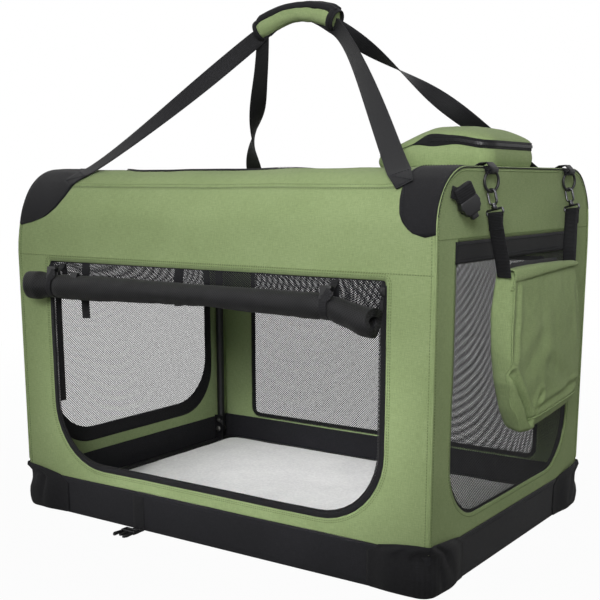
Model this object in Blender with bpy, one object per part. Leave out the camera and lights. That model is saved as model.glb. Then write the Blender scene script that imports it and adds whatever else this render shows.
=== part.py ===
"""Soft folding dog crate.

Metres, +Z up. X runs along the crate's length and Y along its depth, with the front door at -Y.
The origin is the centre of the base's underside, on the floor.
Two tube hoops stand at the ends and fold inward, down onto the base, about rivets near the floor.
"""

import math
from collections import namedtuple

import bmesh
import bpy
from mathutils import Matrix, Vector

# Driving sizes of the crate
CRATE_LENGTH = 0.81
CRATE_DEPTH = 0.57
CRATE_HEIGHT = 0.595
ROOF_RADIUS = 0.085
WALL = 0.003

# Clearances
SEAT_GAP = 0.0003
CUT_OVERRUN = 0.004

# Base tray, floor board and mat
BAND_HEIGHT = 0.066
BAND_CORNER_RADIUS = 0.012
BOARD_THICKNESS = 0.005
BOARD_CORNER_RADIUS = 0.018
MAT_LENGTH = 0.744
MAT_DEPTH = 0.526
MAT_THICKNESS = 0.020
MAT_CROWN = 0.0025
MAT_CORNER_RADIUS = 0.030
MAT_EDGE_TUCK = 0.006

# Steel tubes
TUBE_DIAMETER = 0.016
TUBE_WALL = 0.0012
BASE_TUBE_BEND = 0.025
BASE_VENT_DIAMETER = 0.004
HOOP_BEND = 0.070
HOOP_END_ROOM = 0.0035
HOOP_SIDE_ROOM = 0.0035
HOOP_TOP_ROOM = 0.0005
LEFT_HOOP_STEP_IN = 0.022
LEFT_PIVOT_HEIGHT = 0.040
RIGHT_PIVOT_HEIGHT = 0.064
LEG_TAIL = 0.0075

# Pivot plates, rivets and snap buttons
PLATE_THICKNESS = 0.002
PLATE_OUTER = 0.0095
PLATE_INNER = 0.013
PLATE_OVER_BUTTON = 0.007
RIVET_DIAMETER = 0.007
RIVET_HEAD_DIAMETER = 0.012
RIVET_HEAD = 0.0018
BUTTON_RISE = 0.020
BUTTON_DIAMETER = 0.008
BUTTON_CLEARANCE = 0.0005
BUTTON_PROUD = 0.0015
BUTTON_LEAF_LENGTH = 0.026
BUTTON_LEAF_WIDTH = 0.006
BUTTON_LEAF_THICKNESS = 0.0008
NOTCH_SWEEP = math.radians(75)

# Openings in the walls and roof: width, sill height, top height, corner radii
DOOR_WIDTH = 0.658
DOOR_SILL = 0.090
DOOR_TOP = 0.443
DOOR_LOWER_RADIUS = 0.110
UPPER_RADIUS = 0.012
BACK_LOWER_RADIUS = 0.020
END_WINDOW_WIDTH = 0.450
END_WINDOW_SILL = 0.092
END_WINDOW_TOP = 0.494
END_LOWER_RADIUS = 0.090
END_HEADER = 0.044
ROOF_WINDOW_LENGTH = 0.33
ROOF_WINDOW_DEPTH = 0.38
ROOF_WINDOW_RADIUS = 0.05
ROOF_WINDOW_CENTRE_X = -0.055
BACK_WINDOW_SILL = 0.070
BINDING = 0.012
DOOR_BINDING = 0.007

# Mesh windows, drawn as coarse nets
NET_THICKNESS = 0.0015
NET_STRAND = 0.004
BACK_NET_CELLS = (10, 6)
END_NET_CELLS = (6, 5)
ROOF_NET_CELLS = (5, 5)

# Webbing
WEB_THICKNESS = 0.0012
PATCH_THICKNESS = 0.0010

# Rolled door
ROLL_LEFT_X = -0.358
ROLL_RIGHT_X = 0.313
ROLL_RADIUS = 0.0175
ROLL_CENTRE_HEIGHT = 0.4025
ROLL_SHEET = 0.0012
ROLL_TURN_GAP = 0.0010
ROLL_TURNS = 6
ROLL_HINGE_HEIGHT = 0.446
TIE_THICKNESS = 0.0010
TIE_WIDTH = 0.015
TIE_TOP_HEIGHT = 0.438
TIE_FRONT_LEAD = 0.0023
TIE_CENTRES_X = (-0.295, 0.245)
TAB_WIDTH = 0.018
TAB_TOP_HEIGHT = 0.470
TAB_LENGTH = 0.120
TAB_CENTRES_X = (-0.250, -0.045)

# Door zip slider and its pull
SLIDER_WIDTH = 0.007
SLIDER_LENGTH = 0.012
SLIDER_DEPTH = 0.0035
SLIDER_HEIGHT = 0.428
PULL_WIDTH = 0.005
PULL_LENGTH = 0.022
PULL_THICKNESS = 0.0012

# Black corner patches on the roof
PATCH_REACHES = {"left": 0.112, "right": 0.072}
PATCH_FLAT = 0.030

# Carry straps and handle wrap
STRAP_WIDTH = 0.025
STRAP_FOOT_LEFT_X = -0.300
STRAP_FOOT_RIGHT_X = 0.345
STRAP_FOOT_LENGTH = 0.035
STRAP_SEAT_GAP = 0.0008
HANDLE_LEFT_X = -0.082
HANDLE_RIGHT_X = 0.076
HANDLE_HEIGHT = 0.832
HANDLE_CORE_GAP = 0.0006
WRAP_HEIGHT = 0.050
WRAP_DEPTH = 0.036
WRAP_PADDING = 0.010

# Side bag on the right end
BAG_FRONT_Y = -0.124
BAG_BACK_Y = 0.136
BAG_BOTTOM = 0.208
BAG_TOP = 0.448
BAG_DEPTH = 0.050
BAG_CORNER_RADIUS = 0.010
BAG_WALL = 0.0015
BAG_STANDOFF = 0.003
FLAP_MARGIN = 0.016
FLAP_DROP = 0.027
BAG_STRAP_WIDTH = 0.020
BAG_STRAP_LAP = 0.012
BAG_HINGE_X = 0.4130
BAG_HINGE_HEIGHT = 0.5605
BAG_RING_CENTRES_Y = (-0.140, 0.160)
RING_WIRE = 0.0036
RING_RADIUS = 0.011
LOOP_TOP_HEIGHT = 0.5935
HOOK_WIRE = 0.0034
HOOK_EYE_RADIUS = 0.0042
HOOK_EYE_LENGTH = 0.016
HOOK_BARREL_DIAMETER = 0.008
HOOK_BARREL_LENGTH = 0.007
HOOK_SLOT_WIDTH = 0.0215
HOOK_SLOT_HEIGHT = 0.0085

# Pouch on the roof
POUCH_LEFT_X = 0.200
POUCH_RIGHT_X = 0.385
POUCH_DEPTH = 0.180
POUCH_WALL_HEIGHT = 0.040
POUCH_CORNER_RADIUS = 0.030
POUCH_WALL = 0.0015
LID_RISE = 0.012
LID_TAB_LENGTH = 0.016

# Side-release buckle on the right end and closing strap under the front
SIDE_BUCKLE_Y = -0.222
SIDE_BUCKLE_TOP = 0.572
SIDE_WEB_LENGTH = 0.026
BUCKLE_WIDTH = 0.030
BUCKLE_LENGTH = 0.036
BUCKLE_THICKNESS = 0.007
CLOSING_STRAP_X = -0.140
CLOSING_STRAP_WIDTH = 0.025
CLOSING_STRAP_TOP = 0.060
CLOSING_REACH = 0.014

# Counts of steps in round shapes
TUBE_SIDES = 10
BEND_STEPS = 6
ROUND_SIDES = 14
CORNER_STEPS = 5
ARC_STEPS = 9
ROLL_STEPS = 14

# Shares that shape the soft pieces
MAT_LEVEL_SHARES = ((0.0, 0.75, 0.0), (0.25, 0.1, 0.0), (0.6, 0.0, 0.0), (0.9, 0.45, 0.0))
MAT_CROWN_RINGS = 4
STRAP_LEAVE_SHARE = 0.15
STRAP_ARRIVE_SHARE = 0.12
PATCH_WIDTH_SHARES = {
    "left": (0.10, 0.60, 0.82, 0.94, 1.0, 1.0, 0.97, 0.92, 0.84, 0.72),
    "right": (0.55, 0.80, 0.88, 0.94, 0.98, 1.0, 1.0, 0.97, 0.90, 0.78),
}
PATCH_TIP_SHARE = 0.35
WRAP_SWELL_SHARES = ((0.0, 0.86), (0.08, 0.97), (0.3, 1.0), (0.5, 0.98), (0.7, 1.0), (0.92, 0.97), (1.0, 0.86))
LID_LEVEL_SHARES = ((0.0, 1.0), (0.45, 0.985), (0.8, 0.93), (0.96, 0.83), (1.0, 0.66))

# Colours from the photograph: red, green, blue, roughness, metallic
GUNMETAL = (0.10, 0.10, 0.105, 0.35, 1.0)
GREEN_CLOTH = (0.275, 0.381, 0.156, 0.85, 0.0)
BLACK_CLOTH = (0.012, 0.012, 0.015, 0.80, 0.0)
BLACK_PLASTIC = (0.015, 0.015, 0.017, 0.42, 0.0)
BLACK_PAINT = (0.018, 0.018, 0.020, 0.38, 0.6)
BRIGHT_STEEL = (0.62, 0.62, 0.60, 0.28, 1.0)
PALE_FLEECE = (0.56, 0.57, 0.60, 0.95, 0.0)
GREY_BOARD = (0.10, 0.10, 0.105, 0.75, 0.0)

# Places worked out from the sizes above
HALF_LENGTH = CRATE_LENGTH / 2
HALF_DEPTH = CRATE_DEPTH / 2
TUBE_RADIUS = TUBE_DIAMETER / 2
ROOF_SPRING_HEIGHT = CRATE_HEIGHT - ROOF_RADIUS
HOOP_X = HALF_LENGTH - WALL - HOOP_END_ROOM - TUBE_RADIUS
HOOP_TOP = CRATE_HEIGHT - WALL - HOOP_TOP_ROOM - TUBE_RADIUS
RIGHT_LEG_Y = HALF_DEPTH - WALL - HOOP_SIDE_ROOM - TUBE_RADIUS
LEFT_LEG_Y = RIGHT_LEG_Y - LEFT_HOOP_STEP_IN
BASE_TUBE_HEIGHT = WALL + SEAT_GAP + TUBE_RADIUS
WALL_BOTTOM = BAND_HEIGHT + SEAT_GAP
BAG_BACK_X = HALF_LENGTH + BAG_STANDOFF
POUCH_BOTTOM = CRATE_HEIGHT + SEAT_GAP
QUARTER_TURN = math.pi / 2

Window = namedtuple("Window", "left right bottom top lower_radius upper_radius")
Hoop = namedtuple("Hoop", "name side leg_y pivot_height")
HOOPS = (
    Hoop("left", -1, LEFT_LEG_Y, LEFT_PIVOT_HEIGHT),
    Hoop("right", 1, RIGHT_LEG_Y, RIGHT_PIVOT_HEIGHT),
)
ENDS = (("front", -1), ("back", 1))

DOOR = Window(-DOOR_WIDTH / 2, DOOR_WIDTH / 2, DOOR_SILL, DOOR_TOP, DOOR_LOWER_RADIUS, UPPER_RADIUS)
BACK_WINDOW = DOOR._replace(bottom=BACK_WINDOW_SILL, lower_radius=BACK_LOWER_RADIUS)
END_WINDOW = Window(
    -END_WINDOW_WIDTH / 2, END_WINDOW_WIDTH / 2, END_WINDOW_SILL, END_WINDOW_TOP, END_LOWER_RADIUS, UPPER_RADIUS
)
ROOF_WINDOW = Window(
    ROOF_WINDOW_CENTRE_X - ROOF_WINDOW_LENGTH / 2,
    ROOF_WINDOW_CENTRE_X + ROOF_WINDOW_LENGTH / 2,
    -ROOF_WINDOW_DEPTH / 2,
    ROOF_WINDOW_DEPTH / 2,
    ROOF_WINDOW_RADIUS,
    ROOF_WINDOW_RADIUS,
)

# Turn about Z of a piece that stands in each wall, after its local Z is laid outward
WALL_TURNS = {"front": 0, "right": QUARTER_TURN, "back": math.pi, "left": -QUARTER_TURN}
WALL_OUT = {"front": Vector((0, -1, 0)), "right": Vector((1, 0, 0)), "back": Vector((0, 1, 0)), "left": Vector((-1, 0, 0))}
WALL_FACE = {"front": HALF_DEPTH, "right": HALF_LENGTH, "back": HALF_DEPTH, "left": HALF_LENGTH}


def clear_scene():
    """Starts from nothing."""
    for obj in list(bpy.data.objects):
        bpy.data.objects.remove(obj, do_unlink=True)


def finish(name, values):
    """Makes or finds the material with this name."""
    found = bpy.data.materials.get(name)
    if found:
        return found
    red, green, blue, roughness, metallic = values
    made = bpy.data.materials.new(name)
    made.use_nodes = True
    shader = made.node_tree.nodes["Principled BSDF"]
    shader.inputs["Base Color"].default_value = (red, green, blue, 1)
    shader.inputs["Roughness"].default_value = roughness
    shader.inputs["Metallic"].default_value = metallic
    return made


def solid(name, bm, values, place=(0, 0, 0), turn=(0, 0, 0), smooth=False):
    """Turns a bmesh into a named object with its own material."""
    bmesh.ops.recalc_face_normals(bm, faces=bm.faces)
    if bm.calc_volume(signed=True) < 0:
        bmesh.ops.reverse_faces(bm, faces=bm.faces)
    mesh = bpy.data.meshes.new(name)
    bm.to_mesh(mesh)
    bm.free()
    if smooth:
        mesh.shade_smooth()
        mesh.set_sharp_from_angle(angle=math.radians(40))
    mesh.materials.append(finish(name + "_finish", values))
    obj = bpy.data.objects.new(name, mesh)
    obj.location = place
    obj.rotation_euler = turn
    bpy.context.scene.collection.objects.link(obj)
    return obj


def axis_empty(name, place):
    """An empty on a joint's axis, which carries the pieces that move with it."""
    empty = bpy.data.objects.new(name, None)
    empty.location = place
    bpy.context.scene.collection.objects.link(empty)
    return empty


def carry(empty, *pieces):
    """Parents pieces to an empty and keeps them where they are."""
    for piece in pieces:
        piece.parent = empty
        piece.location = piece.location - empty.location


def cut(obj, cutters, operation="DIFFERENCE"):
    """Cuts or joins with hidden helper solids."""
    for cutter in cutters:
        cutter.hide_render = True
        cutter.display_type = "WIRE"
        boolean = obj.modifiers.new(cutter.name, "BOOLEAN")
        boolean.object = cutter
        boolean.operation = operation
        boolean.solver = "EXACT"


def inset(window, margin):
    """The same opening, smaller all round."""
    return Window(
        window.left + margin,
        window.right - margin,
        window.bottom + margin,
        window.top - margin,
        max(window.lower_radius - margin, SEAT_GAP),
        max(window.upper_radius - margin, SEAT_GAP),
    )


def outline(window):
    """Points of a rounded rectangle, anticlockwise from its lower right corner."""
    corners = (
        (window.right, window.bottom, -1, 1, window.lower_radius, -QUARTER_TURN),
        (window.right, window.top, -1, -1, window.upper_radius, 0),
        (window.left, window.top, 1, -1, window.upper_radius, QUARTER_TURN),
        (window.left, window.bottom, 1, 1, window.lower_radius, math.pi),
    )
    points = []
    for u, v, u_in, v_in, radius, start in corners:
        for step in range(CORNER_STEPS + 1):
            angle = start + QUARTER_TURN * step / CORNER_STEPS
            points.append((u + u_in * radius + radius * math.cos(angle), v + v_in * radius + radius * math.sin(angle)))
    return points


def rectangle(left, right, bottom, top):
    return [(left, bottom), (right, bottom), (right, top), (left, top)]


def clipped(polygon, convex):
    """The part of a polygon that lies inside a convex outline, both anticlockwise."""
    result = polygon
    for first, second in zip(convex, convex[1:] + convex[:1]):
        edge = (second[0] - first[0], second[1] - first[1])

        def side(point):
            return edge[0] * (point[1] - first[1]) - edge[1] * (point[0] - first[0])

        kept = []
        for here, after in zip(result, result[1:] + result[:1]):
            side_here, side_after = side(here), side(after)
            if side_here >= 0:
                kept.append(here)
            if side_here * side_after < 0:
                share = side_here / (side_here - side_after)
                kept.append((here[0] + share * (after[0] - here[0]), here[1] + share * (after[1] - here[1])))
        result = kept
        if not result:
            break
    return result


def area(polygon):
    return sum(a[0] * b[1] - a[1] * b[0] for a, b in zip(polygon, polygon[1:] + polygon[:1])) / 2


def plate(loops, thickness):
    """A flat plate from an outer loop and any holes, from local Z 0 up to its thickness."""
    flat = bmesh.new()
    edges = []
    numbered = []
    for loop in loops:
        ring = [flat.verts.new((u, v, 0)) for u, v in loop]
        numbered.append(ring)
        edges += [flat.edges.new((a, b)) for a, b in zip(ring, ring[1:] + ring[:1])]
    flat.verts.index_update()
    rings = [[vert.index for vert in ring] for ring in numbered]
    bmesh.ops.triangle_fill(flat, use_beauty=True, edges=edges, normal=(0, 0, 1))
    triangles = [[vert.index for vert in face.verts] for face in flat.faces]
    points = [vert.co.copy() for vert in flat.verts]
    flat.free()
    bm = bmesh.new()
    low = [bm.verts.new(point) for point in points]
    high = [bm.verts.new(point + Vector((0, 0, thickness))) for point in points]
    for a, b, c in triangles:
        bm.faces.new((low[a], low[b], low[c]))
        bm.faces.new((high[c], high[b], high[a]))
    for ring in rings:
        for a, b in zip(ring, ring[1:] + ring[:1]):
            bm.faces.new((low[a], low[b], high[b], high[a]))
    return bm


def rings_to_mesh(bm, rings, closed_path=False, capped=True):
    """Joins rings of points into a skin, with end faces if the path is open."""
    made = [[bm.verts.new(point) for point in ring] for ring in rings]
    pairs = list(zip(made, made[1:]))
    if closed_path:
        pairs.append((made[-1], made[0]))
    for near, far in pairs:
        for index in range(len(near)):
            after = (index + 1) % len(near)
            bm.faces.new((near[index], near[after], far[after], far[index]))
    if capped and not closed_path:
        bm.faces.new(list(reversed(made[0])))
        bm.faces.new(made[-1])
    return made


def circle_frames(path, across, closed):
    """For a flat path, the two directions of its cross-section at each point."""
    frames = []
    count = len(path)
    for index in range(count):
        before = path[index - 1] if closed or index else path[index]
        after = path[(index + 1) % count] if closed or index < count - 1 else path[index]
        along = (after - before).normalized()
        frames.append((across.cross(along).normalized(), across))
    return frames


def wire(path, radius, across, closed=False, bore=None, sides=TUBE_SIDES):
    """A round bar, or a tube with a bore, along a flat path whose plane is square to across."""
    frames = circle_frames(path, across, closed)

    def skin(skin_radius):
        rings = []
        for centre, (one, two) in zip(path, frames):
            turns = [math.tau * side / sides for side in range(sides)]
            rings.append([centre + one * (skin_radius * math.cos(t)) + two * (skin_radius * math.sin(t)) for t in turns])
        return rings

    bm = bmesh.new()
    outer = rings_to_mesh(bm, skin(radius), closed, capped=bore is None)
    if bore is not None:
        inner = rings_to_mesh(bm, skin(bore), closed, capped=False)
        if not closed:
            for end in (0, -1):
                for index in range(sides):
                    after = (index + 1) % sides
                    bm.faces.new((outer[end][index], outer[end][after], inner[end][after], inner[end][index]))
    return bm


def turned(profile, sides=ROUND_SIDES):
    """A solid turned about local Z from (radius, height) points that start and end on the axis."""
    bm = bmesh.new()
    rings = []
    for radius, height in profile:
        if radius == 0:
            rings.append([bm.verts.new((0, 0, height))])
        else:
            turns = [math.tau * side / sides for side in range(sides)]
            rings.append([bm.verts.new((radius * math.cos(t), radius * math.sin(t), height)) for t in turns])
    for near, far in zip(rings, rings[1:]):
        for index in range(sides):
            after = (index + 1) % sides
            face = [near[index % len(near)], near[after % len(near)], far[after % len(far)], far[index % len(far)]]
            bm.faces.new(list(dict.fromkeys(face)))
    return bm


def cylinder(name, radius, start, end):
    """A plain round helper solid between two points."""
    along = end - start
    bm = turned([(0, 0), (radius, 0), (radius, along.length), (0, along.length)])
    turn = along.to_track_quat("Z", "Y").to_euler()
    return solid(name, bm, BRIGHT_STEEL, start, turn)


def ribbon(stations, thickness, twisted=False):
    """A strip through stations of (centre, half-width vector, unit normal)."""
    bm = bmesh.new()
    rings = []
    for centre, half, normal in stations:
        rise = normal * (thickness / 2)
        rings.append([centre - half - rise, centre + half - rise, centre + half + rise, centre - half + rise])
    rings_to_mesh(bm, rings)
    if twisted:
        bmesh.ops.triangulate(bm, faces=bm.faces)
    return bm


def arc(centre, radius, start, end, steps):
    """Points (u, v) on an arc."""
    turns = [start + (end - start) * step / steps for step in range(steps + 1)]
    return [(centre[0] + radius * math.cos(t), centre[1] + radius * math.sin(t)) for t in turns]


def in_wall(side, depth, u=0, v=0):
    """Place and turn of a piece whose local Z points out of a wall, depth inside its outer face."""
    turn = (QUARTER_TURN, 0, WALL_TURNS[side])
    along = Matrix.Rotation(WALL_TURNS[side], 3, "Z") @ Vector((u, 0, v))
    return WALL_OUT[side] * (WALL_FACE[side] - depth) + along, turn


def roof_point(x, run, lift):
    """A point above the roof skin at a run from the front spring line, and the skin's normal there."""
    bend_length = ROOF_RADIUS * QUARTER_TURN
    if run < bend_length:
        angle = math.pi - run / ROOF_RADIUS
        normal = Vector((0, math.cos(angle), math.sin(angle)))
        centre = Vector((x, ROOF_RADIUS - HALF_DEPTH, ROOF_SPRING_HEIGHT))
        return centre + normal * (ROOF_RADIUS + lift), normal
    normal = Vector((0, 0, 1))
    return Vector((x, ROOF_RADIUS - HALF_DEPTH + run - bend_length, CRATE_HEIGHT + lift)), normal


def mirrored(point):
    """The same point on the back half."""
    return Vector((point.x, -point.y, point.z))


def tray(outer, inner, height, floor):
    """An open box from two outlines with equal counts of points, standing on local Z 0."""
    bm = bmesh.new()
    levels = ((outer, 0), (outer, height), (inner, height), (inner, floor))
    rings = [[Vector((u, v, level)) for u, v in points] for points, level in levels]
    rings_to_mesh(bm, rings)
    return bm


def make_base():
    """Black tray of the base, the tube loop in it, the floor board and the mat."""
    outer = Window(-HALF_LENGTH, HALF_LENGTH, -HALF_DEPTH, HALF_DEPTH, BAND_CORNER_RADIUS, BAND_CORNER_RADIUS)
    solid("base_cover", tray(outline(outer), outline(inset(outer, WALL)), BAND_HEIGHT, WALL), BLACK_CLOTH)

    loop = inset(outer, WALL + SEAT_GAP + TUBE_RADIUS)
    loop = loop._replace(lower_radius=BASE_TUBE_BEND, upper_radius=BASE_TUBE_BEND)
    path = [Vector((u, v, BASE_TUBE_HEIGHT)) for u, v in outline(loop)]
    tube = wire(path, TUBE_RADIUS, Vector((0, 0, 1)), closed=True, bore=TUBE_RADIUS - TUBE_WALL)
    frame = solid("base_frame", tube, BLACK_PAINT, smooth=True)
    vent_start = Vector((0, loop.top, BASE_TUBE_HEIGHT))
    vent_end = Vector((0, loop.top - TUBE_DIAMETER, BASE_TUBE_HEIGHT))
    cut(frame, [cylinder("base_vent_cutter", BASE_VENT_DIAMETER / 2, vent_start, vent_end)])

    board = inset(loop, TUBE_RADIUS + SEAT_GAP)
    board = board._replace(lower_radius=BOARD_CORNER_RADIUS, upper_radius=BOARD_CORNER_RADIUS)
    solid("base_board", plate([outline(board)], BOARD_THICKNESS), GREY_BOARD, (0, 0, WALL + SEAT_GAP))
    make_mat(WALL + BOARD_THICKNESS + 2 * SEAT_GAP)


def make_mat(bottom):
    """Fleece mat with drawn-in sides and a crown."""
    full = Window(
        -MAT_LENGTH / 2, MAT_LENGTH / 2, -MAT_DEPTH / 2, MAT_DEPTH / 2, MAT_CORNER_RADIUS, MAT_CORNER_RADIUS
    )
    rings = []
    for height_share, tuck_share, _ in MAT_LEVEL_SHARES:
        height = MAT_THICKNESS * height_share
        rings.append([Vector((u, v, height)) for u, v in outline(inset(full, MAT_EDGE_TUCK * tuck_share))])
    rim = outline(inset(full, MAT_EDGE_TUCK))
    for ring in range(MAT_CROWN_RINGS):
        share = ring / MAT_CROWN_RINGS
        height = MAT_THICKNESS + MAT_CROWN * math.sin(QUARTER_TURN * share)
        rings.append([Vector((u * (1 - share), v * (1 - share), height)) for u, v in rim])
    bm = bmesh.new()
    rings_to_mesh(bm, rings)
    solid("floor_mat", bm, PALE_FLEECE, (0, 0, bottom), smooth=True)


def plate_faces(hoop):
    """Distances from the middle plane of a pivot plate's outer and inner faces."""
    outer = hoop.leg_y - TUBE_RADIUS - SEAT_GAP
    return outer, outer - PLATE_THICKNESS


def notch_outline(side):
    """Outline, about the pivot, of the notch that lets the button leave toward the cabin."""
    half = BUTTON_DIAMETER / 2 + BUTTON_CLEARANCE
    far = arc((0, 0), BUTTON_RISE + half, QUARTER_TURN - NOTCH_SWEEP, QUARTER_TURN, ARC_STEPS)
    cap = arc((0, BUTTON_RISE), half, QUARTER_TURN, 3 * QUARTER_TURN, BEND_STEPS)[1:-1]
    near = arc((0, 0), BUTTON_RISE - half, QUARTER_TURN, QUARTER_TURN - NOTCH_SWEEP, ARC_STEPS)
    points = far + cap + near
    if side < 0:
        return points
    return [(-u, v) for u, v in reversed(points)]


def make_pivot_plates():
    """A steel plate at the foot of each hoop leg, saddled on the base tube."""
    for hoop in HOOPS:
        outer_y, inner_y = plate_faces(hoop)
        pivot_x = hoop.side * HOOP_X
        inner_edge = -hoop.side * PLATE_INNER
        outer_edge = hoop.side * PLATE_OUTER
        low = BASE_TUBE_HEIGHT - hoop.pivot_height
        high = BUTTON_RISE + BUTTON_DIAMETER / 2 + PLATE_OVER_BUTTON
        shape = rectangle(min(inner_edge, outer_edge), max(inner_edge, outer_edge), low, high)
        for end, sign in ENDS:
            name = f"{hoop.name}_{end}_pivot_plate"
            # Local Z runs toward -Y, so the plate starts at its face with the larger Y
            start_y = max(sign * outer_y, sign * inner_y)
            place = Vector((pivot_x, start_y, hoop.pivot_height))
            made = solid(name, plate([shape], PLATE_THICKNESS), BLACK_PAINT, place, (QUARTER_TURN, 0, 0))
            reach = Vector((0, CUT_OVERRUN, 0))
            notch_bm = plate([notch_outline(hoop.side)], PLATE_THICKNESS + 2 * CUT_OVERRUN)
            notch = solid(name + "_notch_cutter", notch_bm, BLACK_PAINT, place + reach, (QUARTER_TURN, 0, 0))
            hole_radius = RIVET_DIAMETER / 2 + SEAT_GAP
            hole_end = place - reach - Vector((0, PLATE_THICKNESS, 0))
            hole = cylinder(name + "_hole_cutter", hole_radius, place + reach, hole_end)
            cut(made, [notch, hole, base_tube_cutter(name)])


def base_tube_cutter(name):
    """The base tube with its seat gap, as a helper solid that saddles what stands on it."""
    loop = Window(-HALF_LENGTH, HALF_LENGTH, -HALF_DEPTH, HALF_DEPTH, BASE_TUBE_BEND, BASE_TUBE_BEND)
    loop = inset(loop, WALL + SEAT_GAP + TUBE_RADIUS)
    loop = loop._replace(lower_radius=BASE_TUBE_BEND, upper_radius=BASE_TUBE_BEND)
    path = [Vector((u, v, BASE_TUBE_HEIGHT)) for u, v in outline(loop)]
    bm = wire(path, TUBE_RADIUS + SEAT_GAP, Vector((0, 0, 1)), closed=True)
    return solid(name + "_saddle_cutter", bm, BLACK_PAINT)


def make_hoops():
    """The two hoops, their pivot rivets and their snap buttons."""
    for hoop in HOOPS:
        foot = hoop.pivot_height - LEG_TAIL
        bend_y = hoop.leg_y - HOOP_BEND
        bend_height = HOOP_TOP - HOOP_BEND
        front_bend = arc((-bend_y, bend_height), HOOP_BEND, math.pi, QUARTER_TURN, BEND_STEPS)
        back_bend = arc((bend_y, bend_height), HOOP_BEND, QUARTER_TURN, 0, BEND_STEPS)
        flat = [(-hoop.leg_y, foot)] + front_bend + back_bend + [(hoop.leg_y, foot)]
        path = [Vector((0, y, z - hoop.pivot_height)) for y, z in flat]
        tube = wire(path, TUBE_RADIUS, Vector((1, 0, 0)), bore=TUBE_RADIUS - TUBE_WALL)
        pivot = Vector((hoop.side * HOOP_X, 0, hoop.pivot_height))
        body = solid(f"{hoop.name}_hoop", tube, BLACK_PAINT, pivot, smooth=True)
        cutters = []
        carried = [body]
        for end, sign in ENDS:
            cutters += leg_cutters(hoop, end, sign, pivot)
            make_rivet(hoop, end, sign, pivot)
            carried.append(make_button(hoop, end, sign, pivot))
        cut(body, cutters)
        carry(axis_empty(f"{hoop.name}_hoop_axis", pivot), *carried)


def leg_cutters(hoop, end, sign, pivot):
    """The rivet hole through a leg and the button's hole in its inner side."""
    across = Vector((0, sign, 0))
    leg = pivot + across * hoop.leg_y
    past = across * (TUBE_RADIUS + CUT_OVERRUN)
    rivet_radius = RIVET_DIAMETER / 2 + SEAT_GAP
    rivet = cylinder(f"{hoop.name}_{end}_leg_rivet_cutter", rivet_radius, leg - past, leg + past)
    centre = leg + Vector((0, 0, BUTTON_RISE))
    button_radius = (BUTTON_DIAMETER + BUTTON_CLEARANCE) / 2
    button = cylinder(f"{hoop.name}_{end}_leg_button_cutter", button_radius, centre - past, centre)
    return [rivet, button]


def make_rivet(hoop, end, sign, pivot):
    """A rivet through a leg and its plate, with a low round head on each side."""
    outer_face = hoop.leg_y + TUBE_RADIUS + SEAT_GAP
    inner_face = plate_faces(hoop)[1] - SEAT_GAP
    grip = outer_face - inner_face
    head = RIVET_HEAD_DIAMETER / 2
    shank = RIVET_DIAMETER / 2
    profile = [(0, -RIVET_HEAD), (head / 2, -RIVET_HEAD), (head, -RIVET_HEAD / 3), (head, 0), (shank, 0)]
    profile += [(shank, grip), (head, grip), (head, grip + RIVET_HEAD / 3), (head / 2, grip + RIVET_HEAD)]
    profile += [(0, grip + RIVET_HEAD)]
    place = pivot + Vector((0, sign * inner_face, 0))
    turn = (-sign * QUARTER_TURN, 0, 0)
    return solid(f"{hoop.name}_{end}_pivot_rivet", turned(profile), BRIGHT_STEEL, place, turn, smooth=True)


def make_button(hoop, end, sign, pivot):
    """A snap button with the spring leaf behind it; its origin is on its slide line."""
    tip = hoop.leg_y - plate_faces(hoop)[1] + BUTTON_PROUD
    radius = BUTTON_DIAMETER / 2
    # Local Z runs from the leg's middle toward the cabin
    profile = [(0, 0), (radius, 0), (radius, tip - radius / 2), (radius * 0.8, tip - radius / 6), (0, tip)]
    head = turned(profile)
    place = pivot + Vector((0, sign * hoop.leg_y, BUTTON_RISE))
    turn = (sign * QUARTER_TURN, 0, 0)
    name = f"{hoop.name}_{end}_snap_button"
    made = solid(name, head, BRIGHT_STEEL, place, turn, smooth=True)
    half = BUTTON_LEAF_WIDTH / 2
    up = sign
    low = -radius * up
    high = BUTTON_LEAF_LENGTH * up
    leaf = plate([rectangle(-half, half, min(low, high), max(low, high))], BUTTON_LEAF_THICKNESS)
    helper = solid(name + "_leaf_cutter", leaf, BRIGHT_STEEL, place, turn)
    helper.location = place + Vector((0, sign * BUTTON_LEAF_THICKNESS / 2, 0))
    cut(made, [helper], "UNION")
    return made


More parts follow.
